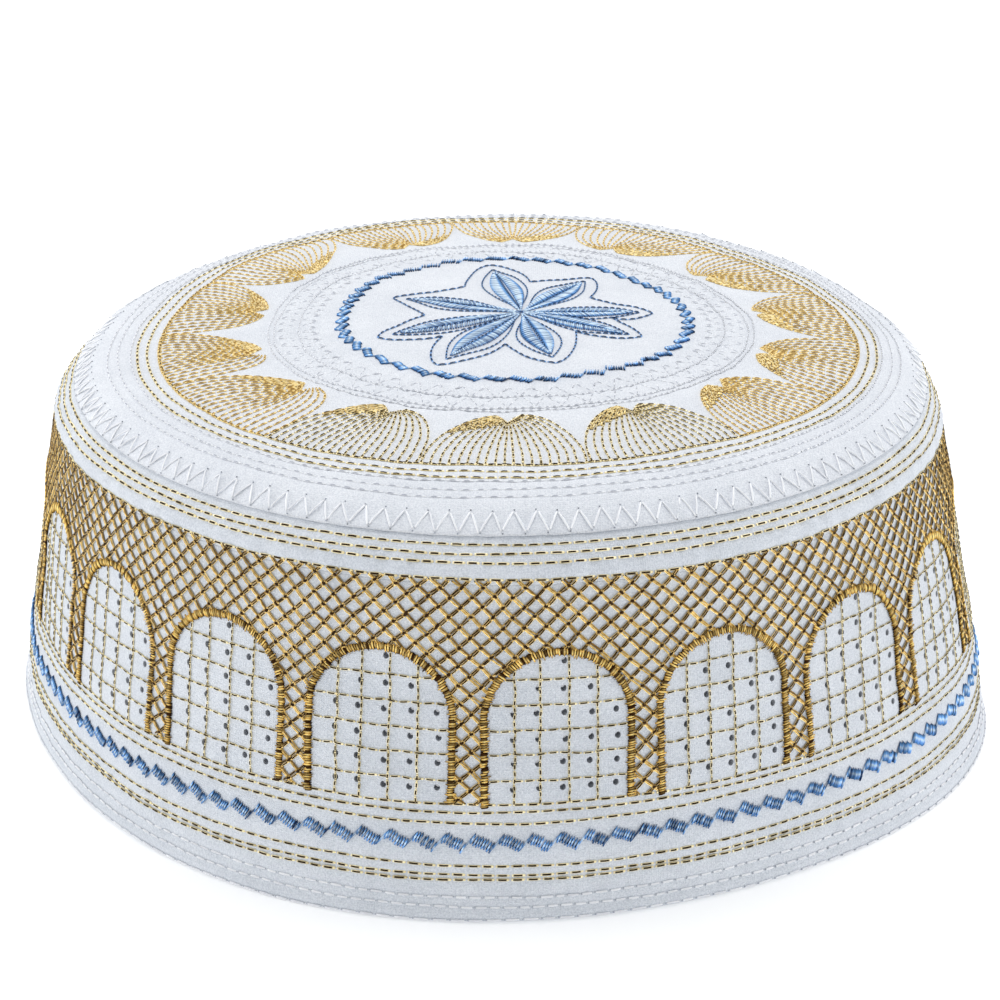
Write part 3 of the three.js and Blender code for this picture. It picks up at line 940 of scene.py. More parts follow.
def model_stitch(rings, sides=4):
    """A grain from -0.5 to 0.5 along x, closed to a point at both ends; rings are (place, size)."""
    clear_selection()
    upright = (0, math.pi / 2, 0)
    bpy.ops.mesh.primitive_circle_add(vertices=sides, radius=0.5, fill_type="NOTHING", rotation=upright)
    grain = bpy.context.object
    bpy.ops.object.mode_set(mode="EDIT")
    bpy.ops.mesh.select_all(action="SELECT")
    bpy.ops.transform.translate(value=(rings[0][0] - 0.5, 0, 0))
    before = rings[0]
    bpy.ops.transform.resize(value=(1, before[1], before[1]))
    for place, size in rings[1:]:
        bpy.ops.mesh.extrude_edges_move(TRANSFORM_OT_translate={"value": (place - before[0], 0, 0)})
        bpy.ops.transform.resize(value=(1, size / before[1], size / before[1]))
        before = (place, size)
    bpy.ops.mesh.extrude_edges_move(TRANSFORM_OT_translate={"value": (1 - before[0], 0, 0)})
    bpy.ops.mesh.merge(type="CENTER")
    bpy.ops.mesh.select_all(action="DESELECT")
    bpy.ops.object.mode_set(mode="OBJECT")
    points = read_points(grain)
    first = points[:, 0] < rings[0][0] - 0.5 + 0.001
    grain.data.vertices.foreach_set("select", first)
    bpy.ops.object.mode_set(mode="EDIT")
    bpy.ops.mesh.select_mode(type="VERT")
    bpy.ops.mesh.extrude_edges_move(TRANSFORM_OT_translate={"value": (-rings[0][0], 0, 0)})
    bpy.ops.mesh.merge(type="CENTER")
    bpy.ops.mesh.select_all(action="SELECT")
    bpy.ops.mesh.normals_make_consistent(inside=False)
    bpy.ops.mesh.quads_convert_to_tris()
    bpy.ops.object.mode_set(mode="OBJECT")
    bpy.ops.object.transform_apply(location=True, rotation=True, scale=True)
    points = read_points(grain)
    faces = np.array([list(p.vertices) for p in grain.data.polygons])
    bpy.data.objects.remove(grain)
    return points, faces


RUNNING_STITCH = model_stitch(((0.1, 0.8), (0.5, 1.0), (0.9, 0.8)))
SATIN_STITCH = model_stitch(((0.15, 0.9), (0.5, 1.0), (0.85, 0.9)))
SHORT_STITCH = model_stitch(((0.2, 0.95), (0.8, 0.95)))
print("running stitch:", len(RUNNING_STITCH[1]), "triangles")

# %% Laying stitches
THREAD_SEED = 11
WIDTH_WANDER = 0.06
TONE_WANDER = 0.22
BOW_POWER = 0.6
SHORTEST = 1e-9


def lay_stitches(name, material, groups):
    """Joins groups of stitches in one piece. A group is its stitch, starts, ends and normals in metres,
    then its width, height, lift and arch in millimetres, and its tone from 0 to 1."""
    all_points, all_faces, all_uv, all_side, count = [], [], [], [], 0
    rng = np.random.default_rng(THREAD_SEED)
    for stitch, starts, ends, up, width, height, lift, arch, tone in groups:
        points, faces = stitch
        n = len(starts)
        if not n:
            continue
        run = ends - starts
        length = np.linalg.norm(run, axis=1, keepdims=True)
        run = run / np.maximum(length, SHORTEST)
        side = np.cross(up, run)
        side = side / np.maximum(np.linalg.norm(side, axis=1, keepdims=True), SHORTEST)
        up = np.cross(run, side)
        along = points[:, 0] + 0.5
        bow = np.sin(np.pi * along) ** BOW_POWER
        jitter = 1 + rng.normal(0, WIDTH_WANDER, (n, 1, 1))
        middle = starts[:, None] + (ends - starts)[:, None] * along[None, :, None]
        raised = (lift + arch * bow)[None, :, None] * MM
        sideways = points[:, 1][None, :, None] * width * MM * jitter
        upwards = points[:, 2][None, :, None] * height * MM
        placed = middle + side[:, None] * sideways + up[:, None] * (raised + upwards)
        shade = np.clip(np.asarray(tone) + rng.normal(0, TONE_WANDER, n), 0, 1)
        uv = np.stack([np.broadcast_to(along, (n, len(along))), np.repeat(shade[:, None], len(along), 1)], -1)
        all_points.append(placed.reshape(-1, 3))
        all_uv.append(uv.reshape(-1, 2))
        all_side.append(np.tile(np.abs(points[:, 1]) * 2, n))
        offsets = count + np.arange(n)[:, None, None] * len(points)
        all_faces.append((faces[None] + offsets).reshape(-1, 3))
        count += n * len(points)
    points = np.concatenate(all_points)
    faces = np.concatenate(all_faces)
    uv = np.concatenate(all_uv)
    mesh = bpy.data.meshes.new(name)
    mesh.vertices.add(len(points))
    mesh.vertices.foreach_set("co", points.ravel())
    mesh.loops.add(faces.size)
    mesh.loops.foreach_set("vertex_index", faces.ravel().astype(np.int32))
    mesh.polygons.add(len(faces))
    mesh.polygons.foreach_set("loop_start", np.arange(0, faces.size, 3, dtype=np.int32))
    mesh.update(calc_edges=True)
    mesh.polygons.foreach_set("use_smooth", np.ones(len(faces), dtype=bool))
    mesh.attributes.new("side", "FLOAT", "POINT").data.foreach_set("value", np.concatenate(all_side))
    piece = bpy.data.objects.new(name, mesh)
    bpy.context.scene.collection.objects.link(piece)
    write_uv(piece, uv)
    finish_piece(piece, (material,))


# %% Rows and single stitches on the cloth
RAISED_LEVELS = (57.4, 57.8, 58.5, 59.2, 60, 61.6, 63.1, 64.7, 65.4, 66.1, 66.35, 69, 72, 75)
RAISED_DEPTHS = (0.0, 0.1, 0.25, 0.33, 0.38, 0.28, 0.14, 0.02, -0.05, -0.15, 0.33, 0.32, 0.2, 0.0)


def over_cloth(level, azimuth):
    """Where a thread lies: on the puckered cloth, over the turned edges of band and crown."""
    raised = np.interp(level, RAISED_LEVELS, RAISED_DEPTHS)
    return surface(level, azimuth, raised + pucker(level, azimuth))


def between(
    stitch, low, azimuth_low, high, azimuth_high, width=0.42, height=0.42, lift=0.05, arch=0.12, tone=0.5
):
    """A group of stitches from one level and azimuth to another."""
    places = [np.atleast_1d(np.asarray(v, float)) for v in (low, azimuth_low, high, azimuth_high)]
    low, azimuth_low, high, azimuth_high = np.broadcast_arrays(*places)
    up = normals((low + high) / 2, (azimuth_low + azimuth_high) / 2)
    starts, ends = over_cloth(low, azimuth_low), over_cloth(high, azimuth_high)
    return (stitch, starts, ends, up, width, height, lift, arch, tone)


def chain(level, azimuth, **look):
    """Running stitches along a line of levels and azimuths, each from where the last one ended."""
    return between(RUNNING_STITCH, level[:-1], azimuth[:-1], level[1:], azimuth[1:], **look)


PITCH_WANDER = 0.05
GIRTH_LEVEL = 75


def ring_row(level, pitch, wander=0.12, **look):
    """One row of running stitches right round the cap at a level."""
    count = int(round(girth(min(level, GIRTH_LEVEL)) / pitch))
    rng = np.random.default_rng(int(level * 10))
    step = rng.normal(0, PITCH_WANDER, count)
    turn = (np.arange(count + 1) + np.append(step, step[0])) * 360 / count - 180
    angle = np.radians(turn)
    slow = wander * np.sin(angle * 5 + level) + wander * 0.5 * np.sin(angle * 23 + level * 2)
    azimuth = azimuth_of(turn, np.full(turn.shape, min(level, WALL_TOP_LEVEL)))
    return chain(level + slow, azimuth, **look)


# %% [markdown]
# ## Rows round the wall and the band
# Machine rows of gold thread run round the foot of the wall, under the arcade, along the top of the
# lattice and round the band. Below them two white rows hold the hem.

# %% Rows
HEM_EDGE_ROW = 0.35
GOLD_ROW = dict(pitch=2.4, width=0.52, height=0.42)
HEM_ROW = dict(pitch=2.3, width=0.45, height=0.42)
HEM_EDGE = dict(pitch=3.0, width=0.4, height=0.35)
CROWN_WHITE = dict(pitch=2.4, width=0.36, height=0.36, wander=0.1)
CROWN_GOLD = dict(pitch=2.3, width=0.52, height=0.42, wander=0.1)
QUILT_ROW = dict(pitch=2.2, width=0.34, height=0.34, wander=0.2)

wall_white, wall_gold = WALL_ROWS[:2], WALL_ROWS[2:]
lay_stitches("gold_rows", gold_running, [ring_row(v, **GOLD_ROW) for v in wall_gold + BAND_ROWS])
hem_rows = [ring_row(v, **HEM_ROW) for v in wall_white] + [ring_row(HEM_EDGE_ROW, **HEM_EDGE)]
lay_stitches("white_rows", white_running, hem_rows)
outer_white, crown_gold, quilt = CROWN_ROW_LEVELS[:3], CROWN_ROW_LEVELS[3:6], CROWN_ROW_LEVELS[6:]
white_rings = [ring_row(v, **CROWN_WHITE) for v in outer_white] + [ring_row(v, **QUILT_ROW) for v in quilt]
lay_stitches("crown_white_rows", white_crown, white_rings)
lay_stitches("crown_gold_rows", gold_fan, [ring_row(v, **CROWN_GOLD) for v in crown_gold])

# %% [markdown]
# ## The arcade
# Twenty round arches in gold satin stitch: short stitches lie side by side across the line of the
# arch. A near-black layer lies under them, where the padding thread lies on the real cap; its dark is
# painted shade, which shows in the gaps between the stitches and as a brown edge. Every third stitch is
# darker, which breaks the arch up into strands.

# %% Arch satin
RIB_HALF_WIDTH = 0.86
UNDERLAY_HALF_WIDTH = RIB_HALF_WIDTH - 0.12
SATIN_PITCH = 0.43
SATIN_RAGGED = 0.19
UNDERLAY_RAGGED = 0.05
SATIN_SEED = 50
SATIN_LOOK = dict(width=0.27, height=0.4, lift=0.1, arch=0.28)
UNDERLAY_LOOK = dict(width=0.4, height=0.24, arch=0.16)
SATIN_TONES = (0.25, 0.8, 0.8)


def mm_to_turn(distance, level):
    return distance * 360 / girth(level)


def arch_path(pitch):
    """Points along one arch and the direction across it, in cloth millimetres from its middle."""
    leg = ARCH_SPRING - ARCH_FOOT
    bend = math.pi * ARCH_HALF_WIDTH
    total = 2 * leg + bend
    s = np.arange(0, total, pitch)
    angle = np.clip(math.pi - (s - leg) / ARCH_HALF_WIDTH, 0, math.pi)
    x = ARCH_HALF_WIDTH * np.cos(angle)
    y = ARCH_SPRING + ARCH_HALF_WIDTH * np.sin(angle)
    y = np.where(s < leg, ARCH_FOOT + s, np.where(s > leg + bend, ARCH_FOOT + total - s, y))
    return x, y, np.cos(angle), np.sin(angle)


def arch_stitches(middle, phase, half_width, ragged, seed, tones, look):
    """Stitches across one arch; phase shifts and slants them along it, and tones repeat in order."""
    x, y, nx, ny = arch_path(SATIN_PITCH)
    rng = np.random.default_rng(seed)
    start, end = SATIN_PITCH * (0.5 + phase), phase * SATIN_PITCH
    reach_a = half_width + rng.normal(0, ragged, len(x))
    reach_b = half_width + rng.normal(0, ragged, len(x))
    ax, ay = x + nx * reach_a - ny * start, y + ny * reach_a + nx * start
    bx, by = x - nx * reach_b - ny * end, y - ny * reach_b + nx * end
    azimuth_a = azimuth_of(middle + mm_to_turn(ax, ay), ay)
    azimuth_b = azimuth_of(middle + mm_to_turn(bx, by), by)
    return between(SATIN_STITCH, ay, azimuth_a, by, azimuth_b, tone=np.resize(tones, len(x)), **look)


arch_layers = []
for i, turn in enumerate(ARCH_TURNS):
    # The underlay has tone 0, which makes it near black: painted shade in the gaps between the satin
    # stitches.
    under = (0.5, UNDERLAY_HALF_WIDTH, UNDERLAY_RAGGED, i, (0.0,), UNDERLAY_LOOK)
    over = (0.0, RIB_HALF_WIDTH, SATIN_RAGGED, i + SATIN_SEED, SATIN_TONES, SATIN_LOOK)
    arch_layers += [arch_stitches(turn, *under), arch_stitches(turn, *over)]
lay_stitches("arcade", gold_satin, arch_layers)

# %% [markdown]
# ## The grid in the arches
# Four upright lines and five level ones of thin gold running stitch fill each arch. They are not quite
# evenly spaced on the real cap, so their places are charted, and each stitch wanders a little.

# %% Grid in the arches
GRID_COLUMNS = (-4.4, -1.86, 1.07, 3.93)
GRID_LEVELS = (24.7, 29.2, 33.3, 37.6, 41.9)
GRID_LEVEL = 35
GRID_REACH = ARCH_HALF_WIDTH - 0.6
GRID_SEED = 900
UPRIGHT_PITCH = 1.2
LEVEL_PITCH = 1.9
UPRIGHT_WANDER = 0.05
LEVEL_WANDER = 0.09
UPRIGHT_LOOK = dict(width=0.44, height=0.42)
LEVEL_LOOK = dict(width=0.42, height=0.4)


def grid_stitches(middle):
    groups = []
    rng = np.random.default_rng(int(middle * 10) + GRID_SEED)
    for column in GRID_COLUMNS:
        x = column * girth(GRID_LEVEL) / 360
        top = ARCH_SPRING + math.sqrt(GRID_REACH**2 - x**2)
        levels = np.linspace(ARCH_FOOT, top, int((top - ARCH_FOOT) / UPRIGHT_PITCH) + 1)
        turn = middle + column + rng.normal(0, UPRIGHT_WANDER, levels.shape)
        groups.append(chain(levels, azimuth_of(turn, levels), **UPRIGHT_LOOK))
    for level in GRID_LEVELS:
        above = max(level - ARCH_SPRING, 0)
        reach = math.sqrt(GRID_REACH**2 - above**2)
        x = np.linspace(-reach, reach, int(2 * reach / LEVEL_PITCH) + 1)
        levels = level + rng.normal(0, LEVEL_WANDER, x.shape)
        groups.append(chain(levels, azimuth_of(middle + mm_to_turn(x, level), levels), **LEVEL_LOOK))
    return groups


lay_stitches("arch_grid", gold_running, [g for t in ARCH_TURNS for g in grid_stitches(t)])

# %% [markdown]
# ## The lattice
# Pairs of gold threads run both ways on the slant over the wall above the arches and between them. The
# places where they cross are worked out first, a little uneven, and every thread then runs from one
# crossing to the next, so that the two directions always meet. A dark knot sits on each crossing: its
# brown is painted shade of the needle hole there.

# %% Diamond lattice
LATTICE_COLUMNS = 165
LATTICE_STEP = 360 / LATTICE_COLUMNS
LATTICE_TOP = 58.6
LATTICE_FOOT = 20.6
LATTICE_RISE = 3.27
LATTICE_LEVEL = 45
LATTICE_NODE_SEED = 23
LATTICE_TEST_POINTS = 9
LATTICE_LEAST = 3
LATTICE_WANDER = 0.09
LATTICE_OVERLAP = 0.1
THREAD_SHIFT = 0.18


def outside_arches(turn, level):
    """True where a point of the wall lies between the arches or above them."""
    nearest = np.round((turn - FIRST_ARCH_TURN) / ARCH_STEP) * ARCH_STEP + FIRST_ARCH_TURN
    x = (turn - nearest) * girth(level) / 360
    in_leg = (np.abs(x) < ARCH_HALF_WIDTH) & (level < ARCH_SPRING)
    in_bend = (x**2 + (level - ARCH_SPRING) ** 2 < ARCH_HALF_WIDTH**2) & (level >= ARCH_SPRING)
    return ~(in_leg | in_bend) & (level > LATTICE_FOOT) & (level < LATTICE_TOP)


def lattice_nodes():
    """Where the threads cross: turns and levels by column and row, a little uneven."""
    rows = int((LATTICE_TOP - LATTICE_FOOT) / (LATTICE_RISE / 2)) + 3
    i, j = np.meshgrid(np.arange(LATTICE_COLUMNS), np.arange(rows), indexing="ij")
    rng = np.random.default_rng(LATTICE_NODE_SEED)
    turn = (i + 0.5 * (j % 2)) * LATTICE_STEP
    level = LATTICE_TOP + 0.4 + (1 - j) * LATTICE_RISE / 2
    warp_turn = 0.13 * np.sin(level * 0.21 + turn * 0.11) + rng.normal(0, 0.05, i.shape)
    warp_level = 0.2 * np.sin(turn * 0.37 + level * 0.1) + rng.normal(0, 0.08, i.shape)
    return turn + warp_turn, level + warp_level


NODE_TURNS, NODE_LEVELS = lattice_nodes()
print("lattice crossings, with those under the arches:", NODE_TURNS.size)

# %% Lattice threads


LATTICE_LOOK = dict(width=0.37, height=0.36, arch=0.14)
KNOT_LOOK = dict(width=0.46, height=0.34, lift=0.2, arch=0.1)
KNOT_SEED = 31
KNOT_SLOPE = 0.1
KNOT_SLOPE_WANDER = 0.25
KNOT_REACH = 0.42


def lattice_sides(sign, shift, tone):
    """One set of parallel diagonal threads, cut where they meet an arch or a border."""
    i, j = np.indices((LATTICE_COLUMNS, NODE_TURNS.shape[1] - 1))
    beside = i + (j % 2) if sign > 0 else i + (j % 2) - 1
    lap = np.floor(beside / LATTICE_COLUMNS)
    turn, level = NODE_TURNS[i, j].ravel(), NODE_LEVELS[i, j].ravel()
    end_turn = (NODE_TURNS[beside % LATTICE_COLUMNS, j + 1] + 360 * lap).ravel()
    end_level = NODE_LEVELS[beside % LATTICE_COLUMNS, j + 1].ravel()
    side = shift / math.sqrt(2)
    turn, end_turn = turn + mm_to_turn(side, LATTICE_LEVEL), end_turn + mm_to_turn(side, LATTICE_LEVEL)
    level, end_level = level + sign * side, end_level + sign * side
    parts = np.linspace(0, 1, LATTICE_TEST_POINTS)
    t = turn[:, None] + (end_turn - turn)[:, None] * parts
    s = level[:, None] + (end_level - level)[:, None] * parts
    free = outside_arches(t, s)
    some = free.sum(axis=1) >= LATTICE_LEAST
    t, s, free = t[some], s[some], free[some]
    first = free.argmax(axis=1)
    last = len(parts) - 1 - free[:, ::-1].argmax(axis=1)
    index = np.arange(len(t))
    ta, tb, sa, sb = t[index, first], t[index, last], s[index, first], s[index, last]
    rng = np.random.default_rng(int(shift * 100) + 7 * int(sign > 0) + 50)
    sa = sa + rng.normal(0, LATTICE_WANDER, len(sa))
    sb = sb + rng.normal(0, LATTICE_WANDER, len(sb))
    if sign > 0:
        more_turn, more_level = LATTICE_OVERLAP * (tb - ta), LATTICE_OVERLAP * (sb - sa)
        ta, tb, sa, sb = ta - more_turn, tb + more_turn, sa - more_level, sb + more_level
    look = dict(LATTICE_LOOK, lift=0.06 if sign > 0 else 0.12, tone=tone)
    return between(RUNNING_STITCH, sa, azimuth_of(ta, sa), sb, azimuth_of(tb, sb), **look)


def lattice_knots():
    """The needle holes where two threads cross, with thread crammed in them, as short knots whose dark brown
    is painted shade.
    """
    turn, level = NODE_TURNS.ravel(), NODE_LEVELS.ravel()
    free = outside_arches(turn, level)
    turn, level = turn[free], level[free]
    rng = np.random.default_rng(KNOT_SEED)
    slope = rng.normal(KNOT_SLOPE, KNOT_SLOPE_WANDER, len(turn))
    reach = mm_to_turn(KNOT_REACH, LATTICE_LEVEL)
    low, high = level - slope, level + slope
    azimuth_low, azimuth_high = azimuth_of(turn - reach, low), azimuth_of(turn + reach, high)
    return between(SHORT_STITCH, low, azimuth_low, high, azimuth_high, **KNOT_LOOK)


falling = [lattice_sides(1, -THREAD_SHIFT, 0.85), lattice_sides(1, THREAD_SHIFT, 0.2)]
rising = [lattice_sides(-1, -THREAD_SHIFT, 0.2), lattice_sides(-1, THREAD_SHIFT, 0.6)]
lay_stitches("lattice_falling", gold_falling, falling)
lay_stitches("lattice_rising", gold_rising, rising)
lay_stitches("lattice_knots", knot_shade, [lattice_knots()])

# %% [markdown]
# ## The blue zigzags
# A band of slanted blue blocks runs round the foot of the wall and a ring of them round the middle of
# the crown. Each block is a few satin stitches side by side over a dark layer of painted shade, joined
# to the next by one thin stitch.

# %% Blue blocks on the wall
BLOCKS = 128
BLOCK_STEP = 360 / BLOCKS
FIRST_BLOCK_TURN = -4.87
BLOCK_LEVEL = 14.0
BLOCK_SEED = 41
BLOCK_STITCHES = 8
BLOCK_HALF_LENGTH = 1.5
BLOCK_DROP = 0.72
BLOCK_WANDER = 0.12
BLOCK_LEAN = 0.55
BLOCK_HALF_HEIGHT = 1.08
BLOCK_INSET = 0.3
BLOCK_TONES = (0.45, 0.85)
BLUE_LOOK = dict(width=0.27, height=0.42, lift=0.06, arch=0.3)
# A dark navy layer under each block's satin stitches: painted shade in the gaps between them.
BLUE_SHADE_UNDERLAY = dict(width=0.4, height=0.16, lift=0.0, arch=0.06, tone=0.1)
JOIN_LEVELS = (12.4, 15.6)
JOIN_REACH = (1.05, -1.0)
JOIN_LOOK = dict(width=0.3, height=0.3, lift=0.05)


def blue_blocks():
    groups = []
    rng = np.random.default_rng(BLOCK_SEED)
    centre = FIRST_BLOCK_TURN + np.arange(BLOCKS) * 360 / BLOCKS
    for part in np.linspace(-1, 1, BLOCK_STITCHES):
        x = part * BLOCK_HALF_LENGTH
        y = BLOCK_LEVEL - part * BLOCK_DROP + rng.normal(0, BLOCK_WANDER, BLOCKS)
        low, high = y - BLOCK_HALF_HEIGHT, y + BLOCK_HALF_HEIGHT
        azimuth_low = azimuth_of(centre + mm_to_turn(x - BLOCK_LEAN, BLOCK_LEVEL), low)
        azimuth_high = azimuth_of(centre + mm_to_turn(x + BLOCK_LEAN, BLOCK_LEVEL), high)
        tone = rng.uniform(*BLOCK_TONES, BLOCKS)
        groups.append(between(SATIN_STITCH, low, azimuth_low, high, azimuth_high, tone=tone, **BLUE_LOOK))
        low, high = low + BLOCK_INSET, high - BLOCK_INSET
        groups.append(between(SHORT_STITCH, low, azimuth_low, high, azimuth_high, **BLUE_SHADE_UNDERLAY))
    low, high = JOIN_LEVELS
    azimuth_low = azimuth_of(centre + mm_to_turn(JOIN_REACH[0], BLOCK_LEVEL), low)
    azimuth_high = azimuth_of(centre + BLOCK_STEP + mm_to_turn(JOIN_REACH[1], BLOCK_LEVEL), high)
    groups.append(between(RUNNING_STITCH, low, azimuth_low, high, azimuth_high, arch=0.2, **JOIN_LOOK))
    return groups


lay_stitches("wall_blue_blocks", blue_satin, blue_blocks())

# %% [markdown]
# ## The crown
# The crown is worked on the same surface, but it is easier to draw in plan, so a point there is given
# by its mean radius and its angle from the front, as on a clock face.

# %% Crown helpers


def clock_place(plan):
    """Level and azimuth of plan points."""
    return level_of_radius(np.hypot(plan[:, 0], plan[:, 1])), np.arctan2(plan[:, 0], -plan[:, 1])


def crown_between(stitch, a, b, width=0.42, height=0.4, lift=0.05, arch=0.1, tone=0.5):
    """Stitches between plan points (x to the right, y to the back), in mean millimetres."""
    a, b = np.atleast_2d(a), np.atleast_2d(b)
    up = normals(*clock_place((a + b) / 2))
    starts, ends = over_cloth(*clock_place(a)), over_cloth(*clock_place(b))
    return (stitch, starts, ends, up, width, height, lift, arch, tone)


def split_line(points, pitch, phase=0.0):
    """A drawn line as stitches, their starts and their ends; phase shortens the first stitch."""
    points = np.asarray(points, float)
    lengths = np.concatenate([[0], np.cumsum(np.linalg.norm(np.diff(points, axis=0), axis=1))])
    count = max(int(round(lengths[-1] / pitch)), 1)
    marks = np.clip((np.arange(count + 1) - phase) * lengths[-1] / count, 0, lengths[-1])
    marks = np.unique(np.append(marks, lengths[-1]))
    placed = np.stack([np.interp(marks, lengths, points[:, k]) for k in (0, 1)], axis=1)
    return placed[:-1], placed[1:]


def polar(radius, degrees):
    angle = np.radians(degrees)
    return np.stack([radius * np.sin(angle), -radius * np.cos(angle)], axis=-1)


# %% Blue ring
RING_BLOCKS = 51
RING_STEP = 360 / RING_BLOCKS
RING_START = 2
RING_CENTRE = np.array((0.7, 0.5))
RING_RADIUS = 35.2
RING_OVAL = 0.4
RING_SEED = 43
RING_RISE = 0.7
RING_WANDER = 0.1
RING_HALF_LENGTH = 1.45
RING_LEAN = 0.5
RING_HALF_WIDTH = 0.9
RING_TONES = (0.4, 0.85)
RING_LOOK = dict(width=0.27, height=0.4, lift=0.06, arch=0.28)
RING_JOIN = 1.5
RING_JOIN_REACH = 1.0


def ring_blocks():
    groups = []
    rng = np.random.default_rng(RING_SEED)
    angle = np.arange(RING_BLOCKS) * 360 / RING_BLOCKS + RING_START
    base = RING_RADIUS + RING_OVAL * np.cos(2 * np.radians(angle))
    slant = np.degrees(RING_LEAN / base)
    for part in np.linspace(-1, 1, BLOCK_STITCHES):
        radius = base + part * RING_RISE + rng.normal(0, RING_WANDER, RING_BLOCKS)
        shift = np.degrees(part * RING_HALF_LENGTH / base)
        a = polar(radius + RING_HALF_WIDTH, angle + shift - slant) + RING_CENTRE
        b = polar(radius - RING_HALF_WIDTH, angle + shift + slant) + RING_CENTRE
        tone = rng.uniform(*RING_TONES, RING_BLOCKS)
        groups.append(crown_between(SATIN_STITCH, a, b, tone=tone, **RING_LOOK))
        # The dark layer under the ring's satin stitches is painted shade in the gaps between them.
        groups.append(crown_between(SHORT_STITCH, a, b, **BLUE_SHADE_UNDERLAY))
    reach = np.degrees(RING_JOIN_REACH / base)
    a = polar(base + RING_JOIN, angle + reach) + RING_CENTRE
    b = polar(base - RING_JOIN, angle + RING_STEP - reach) + RING_CENTRE
    groups.append(crown_between(RUNNING_STITCH, a, b, arch=0.15, **JOIN_LOOK))
    return groups


lay_stitches("crown_blue_ring", blue_satin, ring_blocks())

# %% [markdown]
# ## The fans
# The fourteen gold fans are shells of running stitch. Each line starts on the base ring, climbs almost
# straight, then bends over towards a notch in the fan's head. The fans aren't quite equal on the real
# cap, so their edges and notches are charted, in degrees from the front.

# %% The lines of a fan
FAN_EDGES = (
    *(-11.0, 11.3, 34.5, 57.5, 84.0, 111.0, 141.0, 167.5),
    *(189.5, 212.0, 245.0, 276.0, 301.0, 326.5, 349.0),
)
FAN_NOTCHES = (
    *(0.3, 23.6, 46.3, 70.1, 96.9, 128.1, 157.1),
    *(179.2, 201.8, 235.8, 266.0, 296.7, 319.9, 339.2),
)
FAN_FOOT_RADIUS = 69.3
FAN_NOTCH_HEIGHT = 16.2
FAN_LOBE_HEIGHT = 18.9
FAN_LINES = 19
FAN_GAP = 0.5
FAN_HEAD_REACH = 2.3
FAN_HEAD_POWER = 0.7
FAN_LEAN = 0.7
FAN_RISE = 5.0
FAN_OUTER_RISE = 3.0
FAN_BULGE = 0.52
FAN_BULGE_POWER = 1.1
FAN_INNER_SAG = 4.5
FAN_SAG = 0.4
FAN_WANDER = 0.06
FAN_NARROWING = 0.35
BEND_POINTS = 16


def bend(points, steps=BEND_POINTS):
    """A curve from the first to the last of four points, drawn towards the two between them."""
    t = np.linspace(0, 1, steps)[:, None]
    a, b, c, d = (np.array(p, float) for p in points)
    return a * (1 - t) ** 3 + 3 * b * t * (1 - t) ** 2 + 3 * c * t**2 * (1 - t) + d * t**3


def fan_lines(low, high, notch, seed):
    """The lines of one fan as plan points; x runs along the base ring and y in to the middle."""
    rng = np.random.default_rng(seed)
    middle = (low + high) / 2
    half = math.radians(high - low) / 2 * FAN_FOOT_RADIUS - FAN_GAP
    notch_x = math.radians(notch - middle) * (FAN_FOOT_RADIUS - FAN_NOTCH_HEIGHT)
    lines = []
    for i in range(FAN_LINES):
        foot_x = (-1 + 2 * i / (FAN_LINES - 1)) * half
        side = 1 if foot_x > notch_x else -1
        reach = min(abs(foot_x - notch_x) / (half - side * notch_x), 1)
        head_x = notch_x + side * FAN_HEAD_REACH * reach
        head_y = FAN_NOTCH_HEIGHT + (FAN_LOBE_HEIGHT - FAN_NOTCH_HEIGHT) * reach**FAN_HEAD_POWER
        low_handle = (foot_x + side * FAN_LEAN * reach, FAN_RISE + FAN_OUTER_RISE * reach)
        high_x = head_x + side * (half * FAN_BULGE) * reach**FAN_BULGE_POWER
        high_handle = (high_x, head_y - FAN_INNER_SAG * (1 - reach) - FAN_SAG)
        line = bend(((foot_x, 0.0), low_handle, high_handle, (head_x, head_y)))
        line[1:-1] += rng.normal(0, FAN_WANDER, (len(line) - 2, 2))
        lines.append(line)
    return middle, lines


def fan_to_plan(middle, line):
    """One fan line's points on the crown's plan."""
    narrow = FAN_FOOT_RADIUS - FAN_NARROWING * line[:, 1]
    return polar(FAN_FOOT_RADIUS - line[:, 1], middle + np.degrees(line[:, 0] / narrow))


# %% [markdown]
# The fans near the front have darker dashes than the others, though all are the same gold thread: the
# dashes are painted shade, painted darker on the front fans, whose lines run towards the camera. The
# first lines of each fan have more rows between them from part of the way up to the head. Two rows of
# small stitches run along its feet.

# %% Gold fans
FAN_FRONT = 36.0
FAN_SEED = 70
FAN_PITCH = 2.1
FAN_PHASE = 0.99
FAN_LOOK = dict(width=0.44, height=0.36, lift=0.05, arch=0.1)
FILLED_LINES = 6
FILL_START = 7
FILL_PARTS = (0.34, 0.68)
FILL_WANDER = 0.05
FILL_PITCH = 1.7
FILL_PHASE = 0.8
FILL_LOOK = dict(width=0.32, height=0.3, lift=0.08, arch=0.14, tone=0.55)
FOOT_LOOK = dict(width=0.42, height=0.38, lift=0.08, arch=0.12)
LOOP_LOOK = dict(width=0.36, height=0.34, lift=0.05, arch=0.1)
LOOP_SHRINK = 0.993


